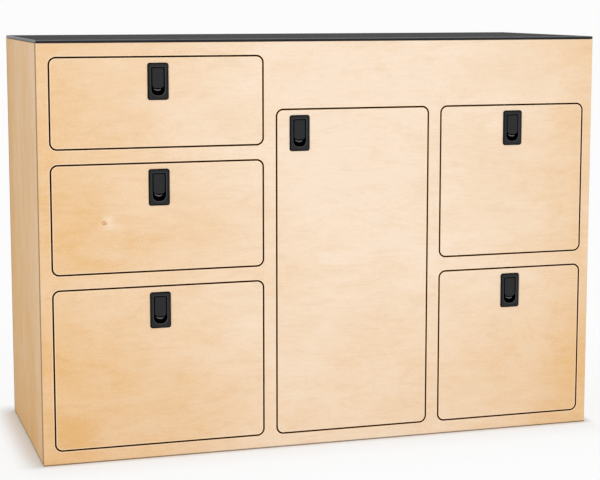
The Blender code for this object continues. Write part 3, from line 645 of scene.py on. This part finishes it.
frame_low, frame_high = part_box("front_frame")
FRONT_FACE = frame_low.y
SHEET_SPAN = (frame_low.y, frame_high.y)
frame_loops = [square_loop(*face_of("front_frame"))]
for front_node in FRONT_NODES.values():
    frame_loops.append(rounded_loop(*face_of(front_node, FRONT_GAP), OPENING_RADIUS)[::-1])
frame_shape = sheet_shape(frame_loops, SHEET_SPAN, "y", toasted=range(1, len(frame_loops)))
sheet_piece("front_sheet", "carcass", [frame_shape], FRONT_VENEER, ["front_frame"])
for name, front_node in FRONT_NODES.items():
    low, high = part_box("latch_housing_" + name)
    side = PLATE_SIDE_LAP - CUT_OUT_GAP
    end = PLATE_END_LAP - CUT_OUT_GAP
    corners = (low.x + side, low.z + end), (high.x - side, high.z - end)
    cut_out = rounded_loop(*corners, CUT_OUT_RADIUS, CUT_OUT_STEPS)
    loops = [rounded_loop(*face_of(front_node), FRONT_RADIUS), cut_out[::-1]]
    shape = sheet_shape(loops, SHEET_SPAN, "y", toasted=(0, 1))
    sheet_piece("front_panel_" + name, FRONT_BODIES[name], [shape], FRONT_VENEER, [front_node])


# Sides, partitions, base, back and shelf
# The carcass behind the front: 15 mm birch plywood sheets glued and screwed together, with a 9 mm
# back. The sides' veneer stands upright; packing strips bring the runners flush with the openings.
PACKING_REACH = 0.0075
BACK_MARGIN = 0.0008
SCREW_HOLE_RADIUS = 0.0038
SCREW_STEPS = 16
BACK_SCREW_LEVELS = (0.060, 0.245, 0.430, 0.615, 0.790)
# Where the sides' warmth changes, by depth and by height, and how warm they are at each end of it.
SIDE_FRONT_SHADE = (-0.235, 0.0, -0.14, 0.0)
SIDE_REAR_SHADE = (0.10, 0.235, 0.0, 0.20)
SIDE_FOOT_SHADE = (0.0, 0.22, 0.12, 0.0)
SIDE_WARMTH = 0.62
INSIDE_WARMTH = 0.28


def side_warmth(place):
    """Upright veneer, warmer than the front: paler towards its front edge, and browner towards its rear
    edge and its foot.
    """
    depth = coordinate(place, "Y")
    rear = depth.eased(*SIDE_FRONT_SHADE) + depth.eased(*SIDE_REAR_SHADE)
    foot = coordinate(place, "Z").eased(*SIDE_FOOT_SHADE)
    return noise(place, (0.0, 5.0, 1.4), detail=1.0) * 0.35 + rear + foot + SIDE_WARMTH


def inside_warmth(place):
    """Inner faces are even, without the stains of the front."""
    return noise(place, (1.5, 2.0, 2.0), detail=1.0) * 0.25 + INSIDE_WARMTH


SIDE_VENEER = birch_veneer("birch_side_veneer", "Z", side_warmth, gloss=0.04)
FLAT_VENEER = birch_veneer("birch_flat_veneer", "X", inside_warmth)


def plain_sheet(axis, low, high):
    """A rectangular sheet between two opposite corners, its thickness along an axis."""
    across, up = {"x": (1, 2), "y": (0, 2), "z": (0, 1)}[axis]
    through = "xyz".index(axis)
    loop = square_loop((low[across], low[up]), (high[across], high[up]))
    return sheet_shape([loop], (low[through], high[through]), axis)


CARCASS_SHEETS = {
    "partition_left": ("x", SIDE_VENEER),
    "partition_right": ("x", SIDE_VENEER),
    "base_panel": ("z", FLAT_VENEER),
    "cupboard_shelf": ("z", FLAT_VENEER),
}
for node, (axis, veneer) in CARCASS_SHEETS.items():
    shape = plain_sheet(axis, *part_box(node))
    sheet_piece(node + "_sheet", "carcass", [shape], veneer, [node])

PLY = frame_high.y - frame_low.y
back_low, back_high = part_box("back_panel")
partitions = [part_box("partition_" + side) for side in ("left", "right")]
partition_middles = [(low.x + high.x) / 2 for low, high in partitions]
screw_columns = [back_low.x + PLY / 2, *partition_middles, back_high.x - PLY / 2]
BACK_SCREWS = [(x, z) for x in screw_columns for z in BACK_SCREW_LEVELS]
BACK_SCREWS += [((left + right) / 2, PLY / 2) for left, right in zip(screw_columns, screw_columns[1:])]
hole_turn = np.linspace(0.0, -2 * math.pi, SCREW_STEPS, endpoint=False)
hole_loop = SCREW_HOLE_RADIUS * np.stack([np.cos(hole_turn), np.sin(hole_turn)], axis=1)
back_loops = [square_loop(*face_of("back_panel"))]
back_loops += [hole_loop + np.array(place) for place in BACK_SCREWS]
back_shape = sheet_shape(back_loops, (back_low.y, back_high.y), "y", margin=BACK_MARGIN)
sheet_piece("back_panel_sheet", "carcass", [back_shape], FLAT_VENEER, ["back_panel"])

for side in ("left", "right"):
    node = "side_panel_" + side
    low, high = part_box(node)
    if side == "left":
        sheet_span = (low.x, low.x + PLY)
        strip_span = (low.x + PLY, high.x)
    else:
        sheet_span = (high.x - PLY, high.x)
        strip_span = (low.x, high.x - PLY)
    shapes = [plain_sheet("x", (sheet_span[0], low.y, low.z), (sheet_span[1], high.y, high.z))]
    for name in DRAWER_NAMES:
        if name.startswith(side):
            rail_low, rail_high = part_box(f"runner_cabinet_{name}_{side}")
            strip_low = (strip_span[0], low.y, rail_low.z - PACKING_REACH)
            strip_high = (strip_span[1], high.y, rail_high.z + PACKING_REACH)
            shapes.append(plain_sheet("x", strip_low, strip_high))
    sheet_piece(node + "_sheet", "carcass", shapes, SIDE_VENEER, [node])


# Worktop
# A 6 mm board of black compact laminate, flush with the cabinet all round. Its top has a fine matt
# texture; the sawn edge is a little smoother and its arris is eased, so it catches the light, and a
# painted highlight greys its upper arris.
WORKTOP_EASE = 0.0018
LAMINATE_TOP = (0.016, 0.016, 0.016)
LAMINATE_EDGE = (0.010, 0.011, 0.014)
# Painted highlight: the grey of the worktop's upper arris.
ARRIS_HIGHLIGHT_GREY = (0.105, 0.108, 0.112)
WIPED_SHARES = (0.82, 1.18)
PEBBLE_STRENGTH = 0.3
TOP_PEBBLE = 0.0002
EDGE_PEBBLE = 0.00005


def laminate(name, colour, depth, roughness, gloss, thickness=None):
    """Black laminate: an even black, with a fine pebbled texture and faint wiped marks.

    Given the board's thickness, a painted highlight greys its upper arris.
    """
    material, shader, place = new_finish(name)
    wiped = noise(place, (2.2, 5.0, 5.0), detail=4.0, roughness=0.6, distortion=0.5)
    pebble = noise(place, [1500.0] * 3, detail=1.0)
    shade = (wiped - 0.5) * 0.35 + 0.5
    tint = mixed(shade.limited(), *(shaded(colour, share) for share in WIPED_SHARES))
    if thickness:
        rise = coordinate(place.node("UVMap", {"uv_map": "edge"}, {}), "Y")
        # Painted highlight along the upper arris.
        highlit_arris = rise.eased(thickness - 1.2 * WORKTOP_EASE, thickness - 0.8 * WORKTOP_EASE)
        tint = mixed((highlit_arris * (wiped + 0.4)).limited(), tint, ARRIS_HIGHLIGHT_GREY)
    dress(shader, tint, (wiped - 0.5) * 0.12 + roughness, pebble, (PEBBLE_STRENGTH, depth), gloss)
    return material


top_low, top_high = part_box("worktop")
top_loop = square_loop(top_low.xy, top_high.xy)
top_shape = sheet_shape([top_loop], (top_low.z, top_high.z), "z", WORKTOP_EASE)
top_thickness = top_high.z - top_low.z
top_face = laminate("laminate_top", LAMINATE_TOP, TOP_PEBBLE, roughness=0.62, gloss=0.04)
top_edge = laminate(
    "laminate_edge", LAMINATE_EDGE, EDGE_PEBBLE, roughness=0.34, gloss=0.20, thickness=top_thickness
)
sheet_piece(
    "worktop_board", "carcass", [top_shape], top_face, ["worktop"], top_edge
)


# Drawer boxes
# Five open boxes of 12 mm birch plywood: the front and back walls stand between the sides, and a
# 6 mm floor sits in grooves. The front wall is notched to clear the back of the latch.
BOX_WALL = 0.012
BOX_FLOOR = 0.006
BOX_FLOOR_RISE = 0.008
BOX_JOINT = 0.0002
NOTCH_SIDE = 0.0225
NOTCH_CLEARANCE = 0.005

BOX_VENEER = birch_veneer("birch_box_veneer", "X", inside_warmth)
BOX_SIDE_VENEER = birch_veneer("birch_box_side_veneer", "Y", inside_warmth)

for name in DRAWER_NAMES:
    node = "drawer_box_" + name
    low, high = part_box(node)
    plate_low, plate_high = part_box("latch_housing_" + name)
    middle = (plate_low.x + plate_high.x) / 2
    notch_low = (middle - NOTCH_SIDE, plate_low.z + PLATE_END_LAP - NOTCH_CLEARANCE)
    notch = square_loop(notch_low, (middle + NOTCH_SIDE, high.z))
    left, right = low.x + BOX_WALL + BOX_JOINT, high.x - BOX_WALL - BOX_JOINT
    floor_low = (left, low.y + BOX_WALL + BOX_JOINT, low.z + BOX_FLOOR_RISE)
    floor_high = (right, high.y - BOX_WALL - BOX_JOINT, low.z + BOX_FLOOR_RISE + BOX_FLOOR)
    walls = [
        plain_sheet("x", low, (low.x + BOX_WALL, high.y, high.z)),
        plain_sheet("x", (high.x - BOX_WALL, low.y, low.z), high),
    ]
    wall = square_loop((left, low.z), (right, high.z))
    front_loop = np.concatenate([wall[:3], notch[[2, 1, 0, 3]], wall[3:]])
    ends = [
        sheet_shape([front_loop], (low.y, low.y + BOX_WALL), "y"),
        plain_sheet("y", (left, high.y - BOX_WALL, low.z), (right, high.y, high.z)),
        plain_sheet("z", floor_low, floor_high),
    ]
    body = "drawer_" + name
    sheet_piece("box_sides_" + name, body, walls, BOX_SIDE_VENEER, [node])
    sheet_piece("box_ends_" + name, body, ends, BOX_VENEER, [node])


# Drawer runners and door pivots
# Rolled steel runners, zinc plated and passivated: a channel on the cabinet with a slimmer member
# on the drawer running in it. The door turns on a pin in each rail, and the pins are passivated black.
ZINC = (0.60, 0.61, 0.63)
CLOUDED_ZINC = (0.50, 0.53, 0.57)
SPOTTED_ZINC = (0.30, 0.30, 0.31)
BLACK_SHADE = 0.03
DRAWN_RELIEF = (0.12, 0.0001)


def zinc_plate(name, shade=1.0):
    """Plated steel: fine drawn lines along its length and a clouded passivation, of a given shade."""
    material, shader, place = new_finish(name)
    drawn = noise(place, (2200.0, 6.0, 2200.0))
    clouded = noise(place, (60.0, 25.0, 60.0), detail=3.0, roughness=0.6, distortion=0.8)
    spot = noise(place, [700.0] * 3, detail=1.0).eased(0.70, 0.80)
    colour = mixed(clouded.eased(0.35, 0.75), shaded(ZINC, shade), shaded(CLOUDED_ZINC, shade))
    colour = mixed(spot * 0.4, colour, shaded(SPOTTED_ZINC, shade))
    dress(shader, colour, drawn * 0.16 + clouded * 0.18 + 0.18, drawn, DRAWN_RELIEF)
    shader.inputs["Metallic"].default_value = 1.0
    return material


def painted(piece, material):
    """Give a piece of the CAD, which keeps its own mesh, one material."""
    piece.data.materials.clear()
    piece.data.materials.append(material)


ZINC_PLATE = zinc_plate("zinc_plated_steel")
BLACK_PLATE = zinc_plate("black_passivated_steel", BLACK_SHADE)
for node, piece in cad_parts.items():
    if node.startswith("runner_"):
        painted(piece, ZINC_PLATE)
    if node.startswith("pivot_"):
        painted(piece, BLACK_PLATE)


# Screws
# Zinc-plated cross-head screws. Pan heads hold the runners to the packing strips and to the drawer
# boxes; flat heads, each seated in its own hole, hold the back to the edges of the carcass.
# Each ring of a head, from the foot up: its radius, its rise, and how it is recessed.
PAN_HEAD = (
    (0.0035, 0.0, 0),
    (0.0035, 0.0003, 0),
    (0.0030, 0.0010, 0),
    (0.0020, 0.0015, 0),
    (0.0017, 0.0015, 1),
    (0.0005, 0.0016, 2),
)
FLAT_HEAD = (
    (0.0018, -0.0080, 0),
    (0.0018, -0.0022, 0),
    (0.0037, -0.0002, 0),
    (0.0036, 0.0, 0),
    (0.0021, 0.0, 0),
    (0.0018, 0.0, 1),
    (0.0005, 0.0, 2),
)
RECESS_DEPTH = 0.0009
FLUSH_DEPTH = 0.0001
RUNNER_WALL = 0.0012
RUNNER_SCREW_INSET = 0.035
RUNNER_SCREW_COUNT = 3


def ring_faces(rows, count):
    """Faces of a closed skin over rows of points: quads between rows, and a fan at each end.

    The two end middles follow the last row. The way round a row, crossed with the way to the next
    row, points outwards.
    """
    quads = ring_quads(rows, count)[2]
    ids = np.arange(count)
    following = (ids + 1) % count
    last = (rows - 1) * count
    first_fan = np.stack([np.full(count, rows * count), following, ids], axis=-1)
    last_fan = np.stack([np.full(count, rows * count + 1), last + ids, last + following], axis=-1)
    return quads.tolist() + first_fan.tolist() + last_fan.tolist()


def turned_shape(place, axis, profile):
    """A turned piece: place + rise * axis + radius * (cos t * u + sin t * v), for t all the way round.

    profile lists (radius, rise, recess) from the foot up. Where recess is 2 the whole ring sinks by
    RECESS_DEPTH, and where it is 1 only every fourth step does, which makes the cross.
    """
    axis = np.array(axis, float)
    first = np.array((0.0, 0.0, 1.0))
    second = np.cross(axis, first)
    radius, rise, recess = np.array(profile, float).T
    turn = np.linspace(0.0, 2 * math.pi, SCREW_STEPS, endpoint=False)
    arm = np.arange(SCREW_STEPS) % (SCREW_STEPS // 4) == 0
    sunk = (recess == 2.0)[:, None] | ((recess == 1.0)[:, None] & arm[None, :])
    level = rise[:, None] - RECESS_DEPTH * sunk
    spoke = np.cos(turn)[:, None] * first + np.sin(turn)[:, None] * second
    rings = level[..., None] * axis + radius[:, None, None] * spoke[None, :, :]
    ends = np.array([level[0, 0] * axis, level[-1, 0] * axis])
    points = np.concatenate([rings.reshape(-1, 3), ends]) + np.array(place)
    return points, ring_faces(len(profile), SCREW_STEPS)


def together(shapes):
    """Several closed skins as one: their points in turn, with the faces renumbered."""
    points, faces, base = [], [], 0
    for part_points, part_faces in shapes:
        points.append(part_points)
        faces += [[base + corner for corner in face] for face in part_faces]
        base += len(part_points)
    return np.concatenate(points), faces


def screw_piece(name, body, shapes):
    mesh = new_mesh(name, *together(shapes), ZINC_PLATE)
    mesh.set_sharp_from_angle(angle=SHARP_ANGLE)
    add_piece(name, mesh, body)


flush = back_high.y - FLUSH_DEPTH
flat_heads = [turned_shape((x, flush, z), (0, 1, 0), FLAT_HEAD) for x, z in BACK_SCREWS]
screw_piece("back_screws", "carcass", flat_heads)
for name in DRAWER_NAMES:
    for member, body in (("cabinet", "carcass"), ("drawer", "drawer_" + name)):
        heads = []
        for side in ("left", "right"):
            low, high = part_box(f"runner_{member}_{name}_{side}")
            if (member == "cabinet") == (side == "left"):
                web, facing = low.x + RUNNER_WALL, 1
            else:
                web, facing = high.x - RUNNER_WALL, -1
            first, last = low.y + RUNNER_SCREW_INSET, high.y - RUNNER_SCREW_INSET
            for y in np.linspace(first, last, RUNNER_SCREW_COUNT):
                heads.append(turned_shape((web, y, (low.z + high.z) / 2), (facing, 0, 0), PAN_HEAD))
        screw_piece(f"{member}_screws_{name}", body, heads)


# Slam latches
# Each is a black moulded nylon housing that clips into its cut-out, a paddle that hinges at its top
# and a sprung bolt that the paddle draws down. The plate stands 2.5 mm proud of the plywood.
PLATE_RADIUS = 0.0052
PLATE_STEPS = 10
POT_DEPTH = 0.0240
POT_WALL = 0.0016
POT_RADIUS = 0.003
HOLLOW_RADIUS = 0.0016
# Each outline about the latch's middle: its half width, bottom, top, bottom radius and top radius.
SLOT_OUTLINE = (0.0136, -0.0278, 0.0283, 0.01156, 0.0022)
PADDLE_OUTLINE = (0.0117, -0.0134, 0.0268, 0.0070, 0.0016)
PADDLE_FACE = -0.0017
LEAN_HEIGHT = 0.0046
LEAN_DEPTH = 0.0009
LIP_HEIGHT = 0.0016
LIP_DEPTH = 0.0006
TONGUE_CENTRE = (0.0062, -0.0156)
TONGUE_HALF_SIZE = (0.0094, 0.0056, 0.0036)
TONGUE_STEPS = (48, 25)
TONGUE_FULLNESS = 0.8
TONGUE_SQUARENESS = 0.90
TONGUE_SLANT = 1.0
TONGUE_CURL = 0.0022
# Each outline of the neck: its depth, half width, bottom and top.
NECK = (
    (0.0100, 0.0062, -0.0160, -0.0118),
    (0.0060, 0.0070, -0.0150, -0.0105),
    (0.0005, 0.0082, -0.0126, -0.0080),
)
NECK_RADIUS = 0.0012
HINGE_DEPTH = 0.0045
HINGE_HEIGHT = 0.0240
TRUNNION_RADIUS = 0.0015
TRUNNION_REACH = 0.0158
BOSS_RADIUS = 0.0033
BOSS_REACH = 0.0112
ARM_HALF_WIDTH = 0.003
ARM_THICKNESS = 0.0024
ARM_END = 0.0197
# Each outline of the arm's rounded end: its inset and its place before the tip, in half thicknesses.
ARM_TIP = ((0.7, 0.0), (0.3, 0.3), (0.0, 1.0))
WINDOW_PLAY = 0.00035
MOULDED_ANGLE = math.radians(34.0)
MOULDED_RELIEF = (0.20, 0.0002)
HANDLED_SHARES = (0.75, 1.35)


def moulded_nylon(name, colour, roughness, gloss, refraction=1.5):
    """Black nylon: a fine spark-eroded texture, and a sheen that handling has made uneven."""
    material, shader, place = new_finish(name)
    texture = noise(place, [2600.0] * 3, detail=1.0)
    handled = noise(place, (70.0, 70.0, 45.0), detail=3.0, roughness=0.6, distortion=0.6)
    shade = (handled - 0.5) * 0.8 + 0.5
    tint = mixed(shade.limited(), *(shaded(colour, share) for share in HANDLED_SHARES))
    dress(shader, tint, (handled - 0.5) * 0.20 + roughness, texture, MOULDED_RELIEF, gloss)
    shader.inputs["IOR"].default_value = refraction
    return material


# Each finish: its material's name, its colour, its roughness and its gloss.
LATCH_FINISHES = {
    "face": moulded_nylon("nylon_plate_face", (0.0135, 0.0138, 0.0150), 0.38, 0.19),
    # Painted shade: the plate's bevel is darker than its face.
    "bevel": moulded_nylon("nylon_plate_bevel", (0.0035, 0.0045, 0.0065), 0.50, 0.07),
    # Painted shade: the slot's walls, the hollow and the parts behind the paddle are near black.
    "inside": moulded_nylon("nylon_inside", (0.002, 0.002, 0.002), 0.55, 0.04),
    "paddle": moulded_nylon("nylon_paddle", (0.0115, 0.012, 0.0135), 0.34, 0.24),
    # Painted highlight: the paddle's raised border is lighter than its face.
    "border": moulded_nylon("nylon_paddle_border", (0.015, 0.0155, 0.017), 0.36, 0.24),
    # Painted highlight: the rim round the slot is much lighter than the plate.
    "rim": moulded_nylon("nylon_slot_rim", (0.032, 0.033, 0.036), 0.34, 0.34),
    "tongue": moulded_nylon("nylon_tongue", (0.003, 0.003, 0.0034), 0.24, 0.95, refraction=1.75),
}
FINISH_ORDER = list(LATCH_FINISHES)


def latch_loop(half_width, bottom, top, radius, top_radius=None):
    """A rounded rectangle about the latch's middle line. Its top corners may have their own radius."""
    radii = np.repeat((radius, top_radius or radius), 2)
    return rounded_loop((-half_width, bottom), (half_width, top), radii, PLATE_STEPS)


def grown(loop, distance):
    return loop + distance * outward(loop)


def skin_piece(name, points, faces, finish, body, replaced):
    """A smooth moulded piece. finish holds one name for each face."""
    mesh = new_mesh(name, points, faces, *LATCH_FINISHES.values())
    mesh.polygons.foreach_set("material_index", [FINISH_ORDER.index(kind) for kind in finish])
    mesh.set_sharp_from_angle(angle=MOULDED_ANGLE)
    mesh.update()
    return add_piece(name, mesh, body, replaced)


def lofted(rings, centre):
    """A closed skin through outlines of equal count, from the back forwards.

    A ring is an outline in X and Z, its depth and its finish. Quads join ring k to ring k + 1, and
    the first and last rings close on their own middles.
    """
    loops, depths, kinds = zip(*rings)
    count = len(loops[0])
    layers = [np.insert(loop, 1, depth, axis=1) for loop, depth in zip(loops, depths)]
    ends = np.array([layers[0].mean(axis=0), layers[-1].mean(axis=0)])
    points = np.concatenate(layers + [ends]) + np.array(centre)
    finish = np.repeat(kinds[:-1] + (kinds[0], kinds[-1]), count).tolist()
    return points, ring_faces(len(rings), count), finish


def stepped(profiles):
    """Rings from profiles. A profile is an outline, a finish, and the steps that it takes.

    Each step is how far the outline is grown and its depth.
    """
    return [(grown(loop, out), depth, kind) for loop, kind, steps in profiles for out, depth in steps]


def housing_rings(half_width, half_height):
    """From the back of the pot, forward over the flange and the plate, and down into the slot."""
    pot_width = half_width - PLATE_SIDE_LAP
    pot_height = half_height - PLATE_END_LAP
    plate = latch_loop(half_width, -half_height, half_height, PLATE_RADIUS)
    pot = latch_loop(pot_width, -pot_height, pot_height, POT_RADIUS)
    slot = latch_loop(*SLOT_OUTLINE)
    hollow_width = pot_width - POT_WALL
    hollow_height = pot_height - POT_WALL
    hollow = latch_loop(hollow_width, -hollow_height, hollow_height, HOLLOW_RADIUS)
    back = POT_DEPTH
    pot_floor = POT_DEPTH - POT_WALL
    pot_steps = [(-0.0030, back), (-0.0012, back), (-0.0004, back - 0.0002), (0.0, back - 0.0009)]
    rim_steps = [(-0.0002, -0.0003), (0.0, -0.0004), (0.0, -0.0009), (-0.0002, -0.0013)]
    profiles = [
        (pot, "face", pot_steps + [(0.0, -0.0003)]),
        (plate, "bevel", rim_steps + [(-0.0006, -0.0016), (-0.0022, -0.00225)]),
        (plate, "face", [(-0.0026, -0.0024), (-0.0031, -0.0025)]),
        (slot, "face", [(0.0022, -0.0025)]),
        (slot, "rim", [(0.0017, -0.0024), (0.0007, -0.0018)]),
        (slot, "inside", [(0.0002, -0.0012), (0.0, -0.0006), (0.0, 0.0002)]),
        (hollow, "inside", [(0.0, 0.0002), (0.0, pot_floor - 0.0010), (-0.0010, pot_floor)]),
    ]
    return stepped(profiles)


def paddle_rings():
    """Over the paddle's back, round its edge, and across its face, which is dished inside a border."""
    outline = latch_loop(*PADDLE_OUTLINE)
    profiles = [
        (outline, "inside", [(-0.0013, 0.0030), (-0.0004, 0.0030), (0.0, 0.0026)]),
        (outline, "paddle", [(0.0, 0.0010)]),
        (outline, "border", [(-0.0001, 0.0005), (-0.0004, 0.0001), (-0.0008, 0.0), (-0.0011, 0.0)]),
        (outline, "paddle", [(-0.0014, 0.0003), (-0.0016, 0.0005), (-0.00165, 0.0006)]),
    ]
    return [(loop, PADDLE_FACE + depth, kind) for loop, depth, kind in stepped(profiles)]


def paddle_shape(centre):
    """The lofted paddle, bent: its top leans back over a hinge and its lower lip rolls inwards."""
    points, faces, finish = lofted(paddle_rings(), centre)
    height = points[:, 2] - centre[2]
    bottom, top = PADDLE_OUTLINE[1:3]
    lean = np.clip((height - (top - LEAN_HEIGHT)) / LEAN_HEIGHT, 0.0, 1.0)
    lip = np.clip((bottom + LIP_HEIGHT - height) / LIP_HEIGHT, 0.0, 1.0)
    points[:, 1] += LEAN_DEPTH * lean + LIP_DEPTH * lip**2
    return points, faces, finish


def tongue_shape(centre):
    """A squashed ball: half_size * (c(v)^f * c(u)^q, c(v)^f * s(u), s(v)), with c and s cos and sin.

    f is its fullness and q its squareness. It slants out at its foot, and its ends curl up by the
    square of their distance from the middle.
    """
    u = np.linspace(0.0, 2 * math.pi, TONGUE_STEPS[0], endpoint=False)
    v = np.linspace(-math.pi / 2, math.pi / 2, TONGUE_STEPS[1])[1:-1]
    grid_v, grid_u = np.meshgrid(v, u, indexing="ij")
    swell = np.cos(grid_v) ** TONGUE_FULLNESS
    across = np.sign(np.cos(grid_u)) * np.abs(np.cos(grid_u)) ** TONGUE_SQUARENESS
    skin = np.stack([swell * across, swell * np.sin(grid_u), np.sin(grid_v)], axis=-1).reshape(-1, 3)
    place = (centre[0], centre[1] + TONGUE_CENTRE[0], centre[2] + TONGUE_CENTRE[1])
    points = np.concatenate([skin, [[0, 0, -1], [0, 0, 1]]]) * np.array(TONGUE_HALF_SIZE)
    points[:, 1] += TONGUE_SLANT * points[:, 2]
    points[:, 2] += TONGUE_CURL * (points[:, 0] / TONGUE_HALF_SIZE[0]) ** 2
    points += np.array(place)
    faces = ring_faces(len(v), len(u))
    return points, faces, ["tongue"] * len(faces)


def neck_shape(centre):
    """The short web behind the paddle's lower end that carries the tongue, lofted from back to front."""
    # The neck takes the dark bevel finish: painted shade in the gap under the paddle.
    rings = [
        (latch_loop(half_width, low, high, NECK_RADIUS), depth, "bevel")
        for depth, half_width, low, high in NECK
    ]
    return lofted(rings, centre)


def hinge_shape(centre):
    """The trunnions and their bosses, turned about the axis that the paddle hinges on."""
    place = (centre[0], centre[1] + HINGE_DEPTH, centre[2] + HINGE_HEIGHT)
    half = [(TRUNNION_RADIUS, TRUNNION_REACH), (TRUNNION_RADIUS, BOSS_REACH), (BOSS_RADIUS, BOSS_REACH)]
    profile = [(radius, -reach, 0) for radius, reach in half]
    profile += [(radius, reach, 0) for radius, reach in reversed(half)]
    points, faces = turned_shape(place, (1, 0, 0), profile)
    return points, faces, ["inside"] * len(faces)


def arm_shape(centre):
    """The flat arm that reaches back from the hinge into the bolt's window, with a rounded end."""
    half = ARM_THICKNESS / 2
    outline = latch_loop(ARM_HALF_WIDTH, HINGE_HEIGHT - half, HINGE_HEIGHT + half, half / 3)
    steps = [(-inset * half, ARM_END - setback * half) for inset, setback in ARM_TIP]
    return lofted(stepped([(outline, "inside", steps + [(0.0, HINGE_DEPTH)])]), centre)


def cut_window(piece, low, high):
    """A block-shaped window through the wall of a closed piece, between two opposite corners."""
    corners = np.array(np.meshgrid(*zip(low, high), indexing="ij")).reshape(3, -1).T
    sides = [(0, 1, 3, 2), (4, 6, 7, 5), (0, 4, 5, 1), (2, 3, 7, 6), (0, 2, 6, 4), (1, 5, 7, 3)]
    cutter = new_object("window", new_mesh("window", corners, sides))
    boolean = piece.modifiers.new("window", "BOOLEAN")
    boolean.object = cutter
    boolean.solver = "EXACT"
    shaped = piece.evaluated_get(bpy.context.evaluated_depsgraph_get())
    piece.data = bpy.data.meshes.new_from_object(shaped)
    piece.modifiers.clear()
    bpy.data.objects.remove(cutter)
    piece.data.set_sharp_from_angle(angle=MOULDED_ANGLE)


for name, body in FRONT_BODIES.items():
    low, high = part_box("latch_housing_" + name)
    centre = ((low.x + high.x) / 2, FRONT_FACE, (low.z + high.z) / 2)
    rings = housing_rings((high.x - low.x) / 2, (high.z - low.z) / 2)
    plate = skin_piece("latch_plate_" + name, *lofted(rings, centre), body, ["latch_housing_" + name])
    bolt_low, bolt_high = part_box("latch_bolt_" + name)
    pot_top = high.z - PLATE_END_LAP
    cut_window(
        plate,
        (bolt_low.x - WINDOW_PLAY, bolt_low.y - WINDOW_PLAY, pot_top - 2 * POT_WALL),
        (bolt_high.x + WINDOW_PLAY, bolt_high.y + WINDOW_PLAY, pot_top + POT_WALL),
    )
    shapers = (paddle_shape, tongue_shape, neck_shape, hinge_shape, arm_shape)
    shells = [shaper(centre) for shaper in shapers]
    points, faces = together([shell[:2] for shell in shells])
    finish = [kind for shell in shells for kind in shell[2]]
    skin_piece("paddle_" + name, points, faces, finish, "paddle_" + name, ["latch_paddle_" + name])
    painted(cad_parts["latch_bolt_" + name], LATCH_FINISHES["paddle"])
